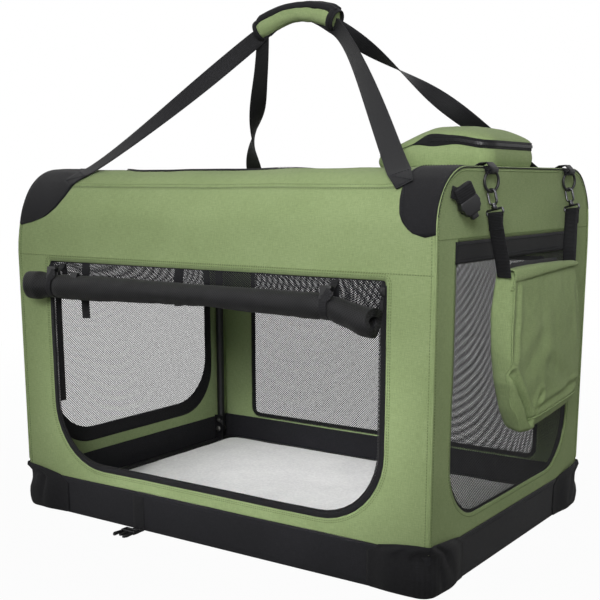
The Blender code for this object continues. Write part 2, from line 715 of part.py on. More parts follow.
def make_walls():
    """Front and back walls, end walls and the roof skin that wraps both long edges."""
    long_wall = rectangle(-HALF_LENGTH, HALF_LENGTH, WALL_BOTTOM, ROOF_SPRING_HEIGHT - SEAT_GAP)
    for side, window in (("front", DOOR), ("back", BACK_WINDOW)):
        place, turn = in_wall(side, WALL)
        solid(f"{side}_panel", plate([long_wall, outline(window)], WALL), GREEN_CLOTH, place, turn)

    end_radius = ROOF_RADIUS - WALL - SEAT_GAP
    half = HALF_DEPTH - WALL - SEAT_GAP
    top = CRATE_HEIGHT - WALL - SEAT_GAP
    right_bend = arc((half - end_radius, top - end_radius), end_radius, 0, QUARTER_TURN, ARC_STEPS)
    left_bend = arc((end_radius - half, top - end_radius), end_radius, QUARTER_TURN, math.pi, ARC_STEPS)
    end_wall = [(-half, WALL_BOTTOM), (half, WALL_BOTTOM)] + right_bend + left_bend
    for side in ("left", "right"):
        place, turn = in_wall(side, WALL)
        solid(f"{side}_panel", plate([end_wall, outline(END_WINDOW)], WALL), GREEN_CLOTH, place, turn)

    spring = (HALF_DEPTH - ROOF_RADIUS, ROOF_SPRING_HEIGHT)
    skin = []
    for radius in (ROOF_RADIUS, ROOF_RADIUS - WALL):
        bend = arc(spring, radius, 0, QUARTER_TURN, ARC_STEPS)
        half_skin = bend + [(-u, v) for u, v in reversed(bend)]
        skin += half_skin if radius == ROOF_RADIUS else list(reversed(half_skin))
    turn = (QUARTER_TURN, 0, QUARTER_TURN)
    roof = solid("roof_panel", plate([skin], CRATE_LENGTH), GREEN_CLOTH, (-HALF_LENGTH, 0, 0), turn, smooth=True)
    hatch = plate([outline(ROOF_WINDOW)], WALL + 2 * CUT_OVERRUN)
    place = (0, 0, CRATE_HEIGHT - WALL - CUT_OVERRUN)
    cut(roof, [solid("roof_hatch_cutter", hatch, GREEN_CLOTH, place)])


def net_loops(window, header, cells):
    """Loops of a bound mesh window: its rim, then the gaps of a net inside the binding."""
    rim = inset(window, SEAT_GAP)
    clear = inset(rim, BINDING)
    clear = clear._replace(top=clear.top - header)
    bound = outline(clear)
    loops = [outline(rim)]
    columns, rows = cells
    wide = (clear.right - clear.left + NET_STRAND) / columns
    tall = (clear.top - clear.bottom + NET_STRAND) / rows
    for column in range(columns):
        for row in range(rows):
            left = clear.left + wide * column
            bottom = clear.bottom + tall * row
            gap = clipped(rectangle(left, left + wide - NET_STRAND, bottom, bottom + tall - NET_STRAND), bound)
            if len(gap) > 2 and area(gap) > NET_STRAND * NET_STRAND:
                loops.append(gap)
    return loops


def make_windows():
    """The bound mesh windows and the binding round the front door."""
    depth = (WALL + NET_THICKNESS) / 2
    walls = (("back", BACK_WINDOW, 0, BACK_NET_CELLS), ("left", END_WINDOW, END_HEADER, END_NET_CELLS))
    walls += (("right", END_WINDOW, END_HEADER, END_NET_CELLS),)
    for side, window, header, cells in walls:
        place, turn = in_wall(side, depth)
        net = plate(net_loops(window, header, cells), NET_THICKNESS)
        solid(f"{side}_mesh_window", net, BLACK_CLOTH, place, turn)
    net = plate(net_loops(ROOF_WINDOW, 0, ROOF_NET_CELLS), NET_THICKNESS)
    solid("roof_mesh_window", net, BLACK_CLOTH, (0, 0, CRATE_HEIGHT - depth))

    rim = inset(DOOR, SEAT_GAP)
    place, turn = in_wall("front", WALL)
    ring = plate([outline(rim), outline(inset(rim, DOOR_BINDING))], WALL)
    solid("front_door_binding", ring, BLACK_CLOTH, place, turn)


def make_door():
    """The mesh door, wound up below the header, its two ties and the tabs inside."""
    tie_mid = HALF_DEPTH + SEAT_GAP + TIE_THICKNESS / 2
    sheet_mid = HALF_DEPTH + 2 * SEAT_GAP + TIE_THICKNESS + ROLL_SHEET / 2
    centre_y = -(sheet_mid - ROLL_SHEET / 2 + ROLL_RADIUS)
    hinge = Vector((0, -sheet_mid, ROLL_HINGE_HEIGHT))
    middle_x = (ROLL_LEFT_X + ROLL_RIGHT_X) / 2
    half = Vector(((ROLL_RIGHT_X - ROLL_LEFT_X) / 2, 0, 0))
    pitch = ROLL_SHEET + ROLL_TURN_GAP
    outside = Vector((0, 1, 0))
    stations = [(Vector((middle_x, -sheet_mid, ROLL_HINGE_HEIGHT)) - hinge, half, outside)]
    wound = []
    for step in range(ROLL_STEPS * ROLL_TURNS + 1):
        angle = -math.tau * step / ROLL_STEPS
        radius = ROLL_RADIUS - ROLL_SHEET / 2 - pitch * step / ROLL_STEPS
        out = Vector((0, math.cos(angle), math.sin(angle)))
        wound.append(Vector((middle_x, centre_y, ROLL_CENTRE_HEIGHT)) + out * radius)
        stations.append((wound[-1] - hinge, half, out))
    roll = solid("rolled_mesh_door", ribbon(stations, ROLL_SHEET), BLACK_CLOTH, hinge, smooth=True)
    between = [(a - b).length for a, b in zip(wound, wound[ROLL_STEPS:])]
    facet = math.cos(math.pi / ROLL_STEPS)
    print("least gap of the rolled door to itself, mm:", round(1000 * (min(between) * facet - ROLL_SHEET), 2))

    ties = []
    reach = ROLL_RADIUS + SEAT_GAP + TIE_THICKNESS / 2
    top = (-sheet_mid - TIE_FRONT_LEAD - centre_y, TIE_TOP_HEIGHT - ROLL_CENTRE_HEIGHT)
    lead_angle = math.atan2(top[1], top[0]) + math.acos(reach / math.hypot(*top))
    for name, x in zip(("left", "right"), TIE_CENTRES_X):
        lead_out = Vector((0, math.cos(lead_angle), math.sin(lead_angle)))
        middle = Vector((x, centre_y, ROLL_CENTRE_HEIGHT))
        width = Vector((TIE_WIDTH / 2, 0, 0))
        stations = [(middle + Vector((0, top[0], top[1])), width, lead_out)]
        for step in range(ARC_STEPS + 1):
            angle = lead_angle + (math.tau - lead_angle) * step / ARC_STEPS
            out = Vector((0, math.cos(angle), math.sin(angle)))
            stations.append((middle + out * reach, width, out))
        stations.append((Vector((x, -tie_mid, TIE_TOP_HEIGHT)), width, Vector((0, 1, 0))))
        local = [(point - hinge, wide, out) for point, wide, out in stations]
        ties.append(solid(f"{name}_door_tie", ribbon(local, TIE_THICKNESS), BLACK_CLOTH, hinge))
    carry(axis_empty("door_roll_axis", hinge), roll, *ties)

    tab_y = -(HALF_DEPTH - WALL - SEAT_GAP - WEB_THICKNESS / 2)
    for name, x in zip(("left", "middle"), TAB_CENTRES_X):
        wide = Vector((TAB_WIDTH / 2, 0, 0))
        ends = (TAB_TOP_HEIGHT, TAB_TOP_HEIGHT - TAB_LENGTH)
        stations = [(Vector((0, 0, z - TAB_TOP_HEIGHT)), wide, Vector((0, 1, 0))) for z in ends]
        place = (x, tab_y, TAB_TOP_HEIGHT)
        solid(f"{name}_inner_tab", ribbon(stations, WEB_THICKNESS), BLACK_CLOTH, place)


def make_door_zip():
    """The parked zip slider on the right of the door opening, and its pull."""
    x = DOOR_WIDTH / 2 - SEAT_GAP - DOOR_BINDING / 2
    half = SLIDER_WIDTH / 2
    long_half = SLIDER_LENGTH / 2
    body = Window(-half, half, -long_half, long_half, half / 2, half / 2)
    place, turn = in_wall("front", -SEAT_GAP, x, SLIDER_HEIGHT)
    slider = solid("door_zip_slider", plate([outline(body)], SLIDER_DEPTH), BLACK_PLASTIC, place, turn)

    pull_top = SLIDER_HEIGHT - long_half - SEAT_GAP - PULL_THICKNESS / 2
    wide = PULL_WIDTH / 2
    tab = Window(-wide, wide, -PULL_LENGTH, 0, wide / 2, wide / 2)
    depth_out = SEAT_GAP + (SLIDER_DEPTH - PULL_THICKNESS) / 2
    place, turn = in_wall("front", -depth_out, x, pull_top)
    pull = solid("door_zip_pull", plate([outline(tab)], PULL_THICKNESS), BLACK_PLASTIC, place, turn)
    slider_axis = axis_empty("door_zip_slider_axis", slider.location)
    pull_axis = axis_empty("door_zip_pull_axis", pull.location)
    carry(slider_axis, slider)
    carry(pull_axis, pull)
    carry(slider_axis, pull_axis)


def make_patches():
    """Black patches over the four top corners, laid on the roof skin."""
    # The stations stand on the roof's own facets, so that the seat gap stays even
    bend_length = ROOF_RADIUS * QUARTER_TURN
    for hoop in HOOPS:
        shares = PATCH_WIDTH_SHARES[hoop.name]
        spots = [(bend_length * step / ARC_STEPS, share) for step, share in enumerate(shares)]
        spots.append((bend_length + PATCH_FLAT, PATCH_TIP_SHARE))
        for end, sign in ENDS:
            stations = []
            for run, share in spots:
                wide = PATCH_REACHES[hoop.name] * share
                x = hoop.side * (HALF_LENGTH - wide / 2)
                lift = SEAT_GAP + PATCH_THICKNESS / 2
                point, normal = roof_point(x, run, lift)
                if sign > 0:
                    point, normal = mirrored(point), mirrored(normal)
                stations.append((point, Vector((wide / 2, 0, 0)), normal))
            name = f"{hoop.name}_{end}_corner_patch"
            solid(name, ribbon(stations, PATCH_THICKNESS), BLACK_CLOTH, smooth=True)


def strap_foot(x, grip, lift):
    """Stations (point, side, heading) of a strap's foot, laid on the roof's front bend."""
    start_run = ROOF_RADIUS * QUARTER_TURN - 2 * STRAP_FOOT_LENGTH
    start, normal = roof_point(x, start_run, lift)
    rising = grip - start
    lean = rising - normal * rising.dot(normal)
    along_x = lean.x / lean.length
    along_run = math.sqrt(1 - along_x * along_x)
    stations = []
    for step in range(CORNER_STEPS):
        walked = STRAP_FOOT_LENGTH * step / (CORNER_STEPS - 1)
        point, normal = roof_point(x + along_x * walked, start_run + along_run * walked, lift)
        tangent = normal.cross(Vector((1, 0, 0)))
        heading = (Vector((along_x, 0, 0)) + tangent * along_run).normalized()
        side = heading.cross(normal)
        stations.append((point, side if side.z > 0 else -side, heading))
    return stations


def strap_half(x, grip, toward_x, lift):
    """Stations of half a strap: its foot, then a run that turns upright and levels off at the handle."""
    stations = strap_foot(x, grip, lift)
    start, start_side, heading = stations[-1]
    length = (grip - start).length
    leave = start + heading * (length * STRAP_LEAVE_SHARE)
    arrive = grip - Vector((toward_x * length * STRAP_ARRIVE_SHARE, 0, 0))
    for step in range(1, ARC_STEPS + 1):
        t = step / ARC_STEPS
        back = 1 - t
        point = start * back**3 + leave * (3 * back * back * t) + arrive * (3 * back * t * t) + grip * t**3
        slope = (leave - start) * (back * back) + (arrive - leave) * (2 * back * t) + (grip - arrive) * (t * t)
        heading = slope.normalized()
        side = start_side.lerp(Vector((0, 0, 1)), t * t * (3 - 2 * t))
        side = (side - heading * side.dot(heading)).normalized()
        stations.append((point, side, heading))
    return stations


def make_handle():
    """Two carry straps, each one web from corner to corner, and the padded wrap that joins them."""
    grip_y = -(WEB_THICKNESS + HANDLE_CORE_GAP) / 2
    on_patch = SEAT_GAP + PATCH_THICKNESS + STRAP_SEAT_GAP + WEB_THICKNESS / 2
    left = strap_half(STRAP_FOOT_LEFT_X, Vector((HANDLE_LEFT_X, grip_y, HANDLE_HEIGHT)), 1, on_patch)
    right = strap_half(STRAP_FOOT_RIGHT_X, Vector((HANDLE_RIGHT_X, grip_y, HANDLE_HEIGHT)), -1, on_patch)
    whole = left + [(point, side, -heading) for point, side, heading in reversed(right)]
    for end, sign in ENDS:
        stations = [(point, side * (STRAP_WIDTH / 2), heading.cross(side)) for point, side, heading in whole]
        if sign > 0:
            stations = [tuple(mirrored(vector) for vector in station) for station in stations]
        solid(f"{end}_carry_strap", ribbon(stations, WEB_THICKNESS, twisted=True), BLACK_CLOTH)

    core_half_height = STRAP_WIDTH / 2 + SEAT_GAP
    core_half_depth = WEB_THICKNESS + HANDLE_CORE_GAP / 2 + SEAT_GAP
    length = HANDLE_RIGHT_X - HANDLE_LEFT_X - 2 * WRAP_PADDING
    turns = [math.tau * side / ROUND_SIDES for side in range(ROUND_SIDES)]
    bore = [(core_half_depth * math.cos(t) * math.sqrt(2), core_half_height * math.sin(t) * math.sqrt(2)) for t in turns]
    bore = [(max(-core_half_depth, min(core_half_depth, y)), z) for y, z in bore]
    bore = [(y, max(-core_half_height, min(core_half_height, z))) for y, z in bore]
    rings = []
    for along, swell in WRAP_SWELL_SHARES:
        half_y, half_z = WRAP_DEPTH / 2 * swell, WRAP_HEIGHT / 2 * swell
        rings.append([Vector((length * along, half_y * math.cos(t), half_z * math.sin(t))) for t in turns])
    inner = [[Vector((length * along, y, z)) for y, z in bore] for along, _ in reversed(WRAP_SWELL_SHARES)]
    bm = bmesh.new()
    rings_to_mesh(bm, rings + inner, closed_path=True)
    place = (HANDLE_LEFT_X + WRAP_PADDING, 0, HANDLE_HEIGHT)
    solid("handle_wrap", bm, GREEN_CLOTH, place, smooth=True)


def make_bag():
    """The side bag on two straps, swivel hooks and rings, all on the right end."""
    hinge = Vector((BAG_HINGE_X, 0, BAG_HINGE_HEIGHT))
    outer = Window(
        BAG_BACK_X, BAG_BACK_X + BAG_DEPTH, BAG_FRONT_Y, BAG_BACK_Y, BAG_CORNER_RADIUS, BAG_CORNER_RADIUS
    )
    shell = tray(outline(outer), outline(inset(outer, BAG_WALL)), BAG_TOP - BAG_BOTTOM, BAG_WALL)
    bag = solid("side_bag", shell, GREEN_CLOTH, (0, 0, BAG_BOTTOM))

    flap_low = BAG_TOP + SEAT_GAP
    front_x = BAG_BACK_X + BAG_DEPTH + SEAT_GAP
    section = [(BAG_BACK_X, flap_low), (front_x, flap_low), (front_x, BAG_TOP - FLAP_DROP)]
    section += [(front_x + BAG_WALL, BAG_TOP - FLAP_DROP), (front_x + BAG_WALL, flap_low + BAG_WALL)]
    section += [(BAG_BACK_X, flap_low + BAG_WALL)]
    flap_hinge = Vector((BAG_BACK_X, 0, flap_low + BAG_WALL / 2))
    local = [(x - flap_hinge.x, z - flap_hinge.z) for x, z in section]
    flap_width = BAG_BACK_Y - BAG_FRONT_Y - 2 * FLAP_MARGIN
    place = Vector((flap_hinge.x, BAG_BACK_Y - FLAP_MARGIN, flap_hinge.z))
    flap = solid("side_bag_flap", plate([local], flap_width), GREEN_CLOTH, place, (QUARTER_TURN, 0, 0))

    carried = [bag]
    sides = ((BAG_FRONT_Y, -1), (BAG_BACK_Y, 1))
    for (end, _), ring_y, (bag_y, outward) in zip(ENDS, BAG_RING_CENTRES_Y, sides):
        make_ring_and_loop(end, ring_y, hinge)
        carried.append(make_hook(end, ring_y, hinge))
        carried.append(make_bag_strap(end, ring_y, bag_y, outward, hinge))
    bag_axis = axis_empty("side_bag_axis", hinge)
    flap_axis = axis_empty("side_bag_flap_axis", flap_hinge)
    carry(bag_axis, *carried)
    carry(flap_axis, flap)
    carry(bag_axis, flap_axis)


def make_ring_and_loop(end, ring_y, hinge):
    """A ring hung in a folded web that is sewn over the end wall's top edge."""
    turns = [math.tau * step / ROUND_SIDES for step in range(ROUND_SIDES)]
    path = [Vector((0, RING_RADIUS * math.sin(t), RING_RADIUS * math.cos(t))) for t in turns]
    centre = hinge + Vector((0, ring_y, RING_RADIUS))
    bm = wire(path, RING_WIRE / 2, Vector((1, 0, 0)), closed=True, sides=8)
    solid(f"bag_{end}_ring", bm, BLACK_PLASTIC, centre, smooth=True)

    bar = centre + Vector((0, 0, RING_RADIUS))
    reach = RING_WIRE / 2 + SEAT_GAP + WEB_THICKNESS / 2
    # The web is narrower than the ring's flat top chord
    wide = Vector((0, RING_RADIUS / 2, 0))
    top = LOOP_TOP_HEIGHT - bar.z
    seat = HALF_LENGTH + SEAT_GAP + WEB_THICKNESS / 2 - bar.x
    ahead = seat + WEB_THICKNESS + SEAT_GAP
    stations = [(Vector((seat, 0, top)), wide, Vector((-1, 0, 0)))]
    for step in range(ARC_STEPS + 1):
        angle = math.pi + math.pi * step / ARC_STEPS
        out = Vector((math.cos(angle), 0, math.sin(angle)))
        stations.append((out * reach - Vector((0, 0, ring_drop())), wide, out))
    stations.append((Vector((reach, 0, RING_WIRE)), wide, Vector((1, 0, 0))))
    stations.append((Vector((ahead, 0, top)), wide, Vector((1, 0, 0))))
    solid(f"bag_{end}_web_loop", ribbon(stations, WEB_THICKNESS), BLACK_CLOTH, bar)


def ring_drop():
    """How far the ring's curve falls below its top across half the width of the web loop."""
    half = RING_RADIUS / 2 + RING_WIRE / 2
    return RING_RADIUS - math.sqrt(RING_RADIUS * RING_RADIUS - half * half)


def make_hook(end, ring_y, hinge):
    """A swivel hook: an eye round the ring, a barrel and a slot for the strap."""
    eye_low = HOOK_EYE_LENGTH
    top = arc((0, 0), HOOK_EYE_RADIUS, 0, math.pi, BEND_STEPS)
    bottom = arc((0, -eye_low), HOOK_EYE_RADIUS, math.pi, math.tau, BEND_STEPS)
    path = [Vector((x, 0, z)) for x, z in top + bottom]
    place = hinge + Vector((0, ring_y, 0))
    bm = wire(path, HOOK_WIRE / 2, Vector((0, 1, 0)), closed=True, sides=8)
    made = solid(f"bag_{end}_hook", bm, GUNMETAL, place, smooth=True)

    barrel_top = -(eye_low + HOOK_EYE_RADIUS)
    barrel_low = barrel_top - HOOK_BARREL_LENGTH
    start = place + Vector((0, 0, barrel_top + HOOK_WIRE / 2))
    end_point = place + Vector((0, 0, barrel_low))
    barrel = cylinder(f"bag_{end}_hook_barrel_cutter", HOOK_BARREL_DIAMETER / 2, start, end_point)

    half = HOOK_SLOT_WIDTH / 2 + HOOK_WIRE / 2
    slot_top = barrel_low
    slot_low = barrel_low - HOOK_SLOT_HEIGHT
    corners = ((-half, slot_top), (-half, slot_low), (half, slot_low), (half, slot_top))
    path = [Vector((0, y, z)) for y, z in corners]
    slot_bm = wire(path, HOOK_WIRE / 2, Vector((1, 0, 0)), closed=True, sides=8)
    slot = solid(f"bag_{end}_hook_slot_cutter", slot_bm, BLACK_PLASTIC, place)
    cut(made, [barrel, slot], "UNION")
    return made


def make_bag_strap(end, ring_y, bag_y, outward, hinge):
    """A strap folded over the hook's bar, turning a quarter on its way down to the bag's gusset."""
    bar_height = -(HOOK_EYE_LENGTH + HOOK_EYE_RADIUS + HOOK_BARREL_LENGTH + HOOK_SLOT_HEIGHT)
    bar = Vector((0, ring_y, bar_height))
    reach = HOOK_WIRE * math.sqrt(2) / 2 + SEAT_GAP + WEB_THICKNESS / 2
    wide = Vector((0, 1, 0))
    stations = [(bar + Vector((-reach, 0, -BAG_STRAP_WIDTH)), wide, Vector((-1, 0, 0)))]
    for step in range(ARC_STEPS + 1):
        angle = math.pi - math.pi * step / ARC_STEPS
        out = Vector((math.cos(angle), 0, math.sin(angle)))
        stations.append((bar + out * reach, wide, out))
    gusset_y = bag_y + outward * (SEAT_GAP + WEB_THICKNESS / 2)
    middle_x = BAG_BACK_X + BAG_DEPTH / 2 - hinge.x
    top = bar + Vector((reach, 0, 0))
    low = Vector((middle_x, gusset_y, BAG_TOP - hinge.z))
    for step in range(1, ARC_STEPS + 1):
        share = step / ARC_STEPS
        ease = share * share * (3 - 2 * share)
        turn = -outward * QUARTER_TURN * ease
        side = Vector((-math.sin(turn) * outward, math.cos(turn), 0))
        normal = Vector((math.cos(turn), math.sin(turn) * outward, 0))
        point = Vector((top.x + (low.x - top.x) * ease, top.y + (low.y - top.y) * ease, top.z + (low.z - top.z) * share))
        stations.append((point, side, normal))
    lap = stations[-1]
    stations.append((lap[0] - Vector((0, 0, BAG_STRAP_LAP)), lap[1], lap[2]))
    sized = [(point, side * (BAG_STRAP_WIDTH / 2), normal) for point, side, normal in stations]
    return solid(f"bag_{end}_strap", ribbon(sized, WEB_THICKNESS, twisted=True), BLACK_CLOTH, hinge)


def make_pouch():
    """The pouch on the roof and its crowned lid, hinged along the pouch's left edge."""
    outer = Window(
        POUCH_LEFT_X, POUCH_RIGHT_X, -POUCH_DEPTH / 2, POUCH_DEPTH / 2, POUCH_CORNER_RADIUS, POUCH_CORNER_RADIUS
    )
    shell = tray(outline(outer), outline(inset(outer, POUCH_WALL)), POUCH_WALL_HEIGHT, POUCH_WALL)
    solid("roof_pouch", shell, GREEN_CLOTH, (0, 0, POUCH_BOTTOM))

    lid_bottom = POUCH_BOTTOM + POUCH_WALL_HEIGHT + SEAT_GAP
    hinge = Vector((POUCH_LEFT_X, 0, lid_bottom))
    middle = (POUCH_LEFT_X + POUCH_RIGHT_X) / 2
    rings = []
    for rise_share, size_share in LID_LEVEL_SHARES:
        ring = []
        for u, v in outline(outer):
            ring.append(Vector((middle + (u - middle) * size_share - hinge.x, v * size_share, LID_RISE * rise_share)))
        rings.append(ring)
    under = []
    for ring in reversed(rings):
        low = [Vector((p.x, p.y, p.z - POUCH_WALL)) for p in ring]
        under.append([Vector((p.x, p.y, max(p.z, 0))) for p in low])
    inner_rim = [Vector((u - hinge.x, v, 0)) for u, v in outline(inset(outer, POUCH_WALL))]
    bm = bmesh.new()
    rings_to_mesh(bm, rings + under[:-1] + [inner_rim], closed_path=False, capped=False)
    close_lid(bm, len(rings[0]), len(rings), len(under))
    lid = solid("roof_pouch_lid", bm, GREEN_CLOTH, hinge, smooth=True)
    tab_low = lid_bottom - LID_TAB_LENGTH
    carry(axis_empty("roof_pouch_lid_axis", hinge), lid)
    tab_x = POUCH_RIGHT_X + SEAT_GAP + WEB_THICKNESS / 2
    wide = Vector((0, TAB_WIDTH / 4, 0))
    stations = [(Vector((0, 0, z - tab_low)), wide, Vector((1, 0, 0))) for z in (lid_bottom, tab_low)]
    solid("roof_pouch_tab", ribbon(stations, WEB_THICKNESS), BLACK_CLOTH, (tab_x, 0, tab_low))


def close_lid(bm, count, top_rings, under_rings):
    """Closes the lid's crown above and below and joins its rim."""
    bm.verts.ensure_lookup_table()
    rings = [bm.verts[index * count:(index + 1) * count] for index in range(top_rings + under_rings)]
    first, last = rings[0], rings[-1]
    for index in range(count):
        after = (index + 1) % count
        bm.faces.new((first[index], first[after], last[after], last[index]))
    crown, under = rings[top_rings - 1], rings[top_rings]
    for index in range(count):
        after = (index + 1) % count
        edge_face = bm.faces.get((crown[index], crown[after], under[after], under[index]))
        bm.faces.remove(edge_face)
    bm.faces.new(crown)
    bm.faces.new(list(reversed(under)))


def make_buckles():
    """The buckle half on the right end, and the closing strap with its plug at the front."""
    hinge = Vector((HALF_LENGTH + SEAT_GAP + WEB_THICKNESS / 2, SIDE_BUCKLE_Y, SIDE_BUCKLE_TOP))
    wide = Vector((0, BUCKLE_WIDTH / 3, 0))
    drop = Vector((0, 0, -SIDE_WEB_LENGTH))
    web_stations = [(Vector((0, 0, 0)), wide, Vector((1, 0, 0))), (drop, wide, Vector((1, 0, 0)))]
    web = solid("side_buckle_web", ribbon(web_stations, WEB_THICKNESS), BLACK_CLOTH, hinge)
    half = BUCKLE_WIDTH / 2
    body = Window(-half, half, -BUCKLE_LENGTH, 0, half / 3, half / 3)
    place = hinge + drop + Vector((-WEB_THICKNESS / 2, 0, -SEAT_GAP))
    turn = (QUARTER_TURN, 0, QUARTER_TURN)
    buckle = solid("side_buckle", plate([outline(body)], BUCKLE_THICKNESS), BLACK_PLASTIC, place, turn)
    carry(axis_empty("side_buckle_axis", hinge), web, buckle)

    face = HALF_DEPTH + SEAT_GAP + WEB_THICKNESS / 2
    low = SEAT_GAP + WEB_THICKNESS / 2
    wide = Vector((CLOSING_STRAP_WIDTH / 2, 0, 0))
    slant = Vector((0, -1, 1)).normalized() * math.sqrt(2)
    stations = [
        (Vector((0, -face, CLOSING_STRAP_TOP)), wide, Vector((0, -1, 0))),
        (Vector((0, -face, low)), wide, slant),
        (Vector((0, -face - CLOSING_REACH, low)), wide, Vector((0, 0, 1))),
    ]
    solid("closing_strap", ribbon(stations, WEB_THICKNESS), BLACK_CLOTH, (CLOSING_STRAP_X, 0, 0))
    plug_low = -face - CLOSING_REACH - SEAT_GAP
    plug = Window(-half, half, plug_low - BUCKLE_LENGTH, plug_low, half / 3, half / 3)
    solid("closing_buckle_plug", plate([outline(plug)], BUCKLE_THICKNESS), BLACK_PLASTIC, (CLOSING_STRAP_X, 0, SEAT_GAP))


def main():
    clear_scene()
    make_base()
    make_pivot_plates()
    make_hoops()
    make_walls()
    make_windows()
    make_door()
    make_door_zip()
    make_patches()
    make_handle()
    make_bag()
    make_pouch()
    make_buckles()


main()
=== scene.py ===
"""Looks of the soft folding dog crate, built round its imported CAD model.

Metres, +Z up, front door at -Y, side bag at +X, the floor at Z 0, as in the CAD.
"""

import math
from collections import namedtuple

import bmesh
import bpy
from mathutils import Matrix, Vector, noise


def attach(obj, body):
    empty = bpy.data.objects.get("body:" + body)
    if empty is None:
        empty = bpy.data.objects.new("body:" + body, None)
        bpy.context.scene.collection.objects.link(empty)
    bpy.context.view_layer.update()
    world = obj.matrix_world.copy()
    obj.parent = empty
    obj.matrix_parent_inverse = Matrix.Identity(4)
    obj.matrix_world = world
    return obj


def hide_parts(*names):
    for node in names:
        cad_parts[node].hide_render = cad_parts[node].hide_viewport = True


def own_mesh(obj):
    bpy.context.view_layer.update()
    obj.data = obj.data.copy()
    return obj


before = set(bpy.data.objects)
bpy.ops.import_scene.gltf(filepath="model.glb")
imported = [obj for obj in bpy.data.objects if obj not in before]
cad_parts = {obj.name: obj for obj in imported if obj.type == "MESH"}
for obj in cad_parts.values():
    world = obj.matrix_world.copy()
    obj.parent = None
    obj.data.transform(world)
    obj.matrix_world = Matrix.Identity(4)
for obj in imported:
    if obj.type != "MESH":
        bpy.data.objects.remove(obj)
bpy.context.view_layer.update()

# Sizes of the crate, as the CAD has them
HALF_LENGTH = 0.405
HALF_DEPTH = 0.285
HEIGHT = 0.595
ROOF_RADIUS = 0.085
SPRING = HEIGHT - ROOF_RADIUS
BEND = ROOF_RADIUS * math.pi / 2
WRAP_LENGTH = 2 * (SPRING + BEND + HALF_DEPTH - ROOF_RADIUS)
WALL_EDGE = 0.4046
WALL_BOTTOM = 0.0664
CLOTH = 0.0026
FRONT_SEAM = 0.5738
HOOP_X = 0.3905
QUARTER = math.pi / 2

# Sizes of small things
THREAD = 0.0007
STITCH = 0.0034
STITCH_PITCH = 0.0042
TOOTH_PITCH = 0.0021
NET_HALF = 0.0023
BINDING = 0.012
DOOR_BINDING = 0.007
BACK_BINDING = 0.008
END_BORDER = 0.024
END_HEADER = 0.030
STRAP_WIDTH = 0.025
WEB = 0.0014

Window = namedtuple("Window", "left right bottom top lower upper")
DOOR = Window(-0.329, 0.329, 0.090, 0.443, 0.110, 0.005)
BACK_WINDOW = DOOR._replace(bottom=0.070, lower=0.020)
END_WINDOW = Window(-0.225, 0.225, 0.092, 0.494, 0.090, 0.012)
ROOF_WINDOW = Window(-0.22, 0.11, -0.19, 0.19, 0.05, 0.05)
ENDS = (("front", -1), ("back", 1))
SIDES = (("left", -1), ("right", 1))
CABIN_MIDDLE = Vector((0, 0, 0.3))

made_pieces = {}


# Finishes

def linear(code):
    """A colour written as sRGB hex, as the linear values that Blender uses."""
    values = []
    for start in (1, 3, 5):
        share = int(code[start:start + 2], 16) / 255
        values.append(share / 12.92 if share <= 0.04045 else ((share + 0.055) / 1.055) ** 2.4)
    return (*values, 1)


def add(tree, kind, settings=None, links=None):
    """Adds a node, sets its settings and sockets, and links its inputs."""
    made = tree.nodes.new(kind)
    for key, value in (settings or {}).items():
        if isinstance(key, str) and hasattr(made, key):
            setattr(made, key, value)
        else:
            made.inputs[key].default_value = value
    for key, source in (links or {}).items():
        tree.links.new(source, made.inputs[key])
    return made


def new_finish(name, **sockets):
    """A material with its shader's constant sockets set."""
    made = bpy.data.materials.new(name)
    made.use_nodes = True
    tree = made.node_tree
    shader = tree.nodes["Principled BSDF"]
    for key, value in sockets.items():
        shader.inputs[key.replace("_", " ")].default_value = value
    return made, tree, shader


def bumped(tree, shader, height, strength, distance):
    """Raises a pattern on the shader's surface."""
    bump = add(tree, "ShaderNodeBump", {"Strength": strength, "Distance": distance}, {"Height": height})
    tree.links.new(bump.outputs["Normal"], shader.inputs["Normal"])


def coloured(tree, shader, share, stops):
    """Turns a pattern's value into the shader's colour through (position, hex) stops."""
    ramp = add(tree, "ShaderNodeValToRGB", links={"Fac": share})
    while len(ramp.color_ramp.elements) < len(stops):
        ramp.color_ramp.elements.new(0.5)
    for element, (position, code) in zip(ramp.color_ramp.elements, stops):
        element.position = position
        element.color = linear(code)
    tree.links.new(ramp.outputs["Color"], shader.inputs["Base Color"])


def crossed_waves(tree, vector, pitch):
    """Waves along X and along Y with this pitch, and the same with both halves up."""
    parts = add(tree, "ShaderNodeSeparateXYZ", links={"Vector": vector})
    waves = []
    for axis in ("X", "Y"):
        turn = add(tree, "ShaderNodeMath", {"operation": "MULTIPLY", 1: math.pi / pitch}, {0: parts.outputs[axis]})
        waves.append(add(tree, "ShaderNodeMath", {"operation": "SINE"}, {0: turn.outputs[0]}).outputs[0])
    crowns = [add(tree, "ShaderNodeMath", {"operation": "ABSOLUTE"}, {0: wave}).outputs[0] for wave in waves]
    return waves, crowns


def weave(tree, pitch):
    """Height and yarn share of a plain weave on the piece's own cut, one yarn over and one under."""
    cut = add(tree, "ShaderNodeUVMap", {"uv_map": "cut"}).outputs["UV"]
    waves, crowns = crossed_waves(tree, cut, pitch)
    sign = add(tree, "ShaderNodeMath", {"operation": "MULTIPLY"}, {0: waves[0], 1: waves[1]})
    warp_up = add(tree, "ShaderNodeMapRange", {"From Min": -0.4, "From Max": 0.4}, {"Value": sign.outputs[0]})
    height = add(tree, "ShaderNodeMix", {"data_type": "FLOAT"}, {0: warp_up.outputs[0], 2: crowns[0], 3: crowns[1]})
    return cut, warp_up.outputs[0], height.outputs[0]


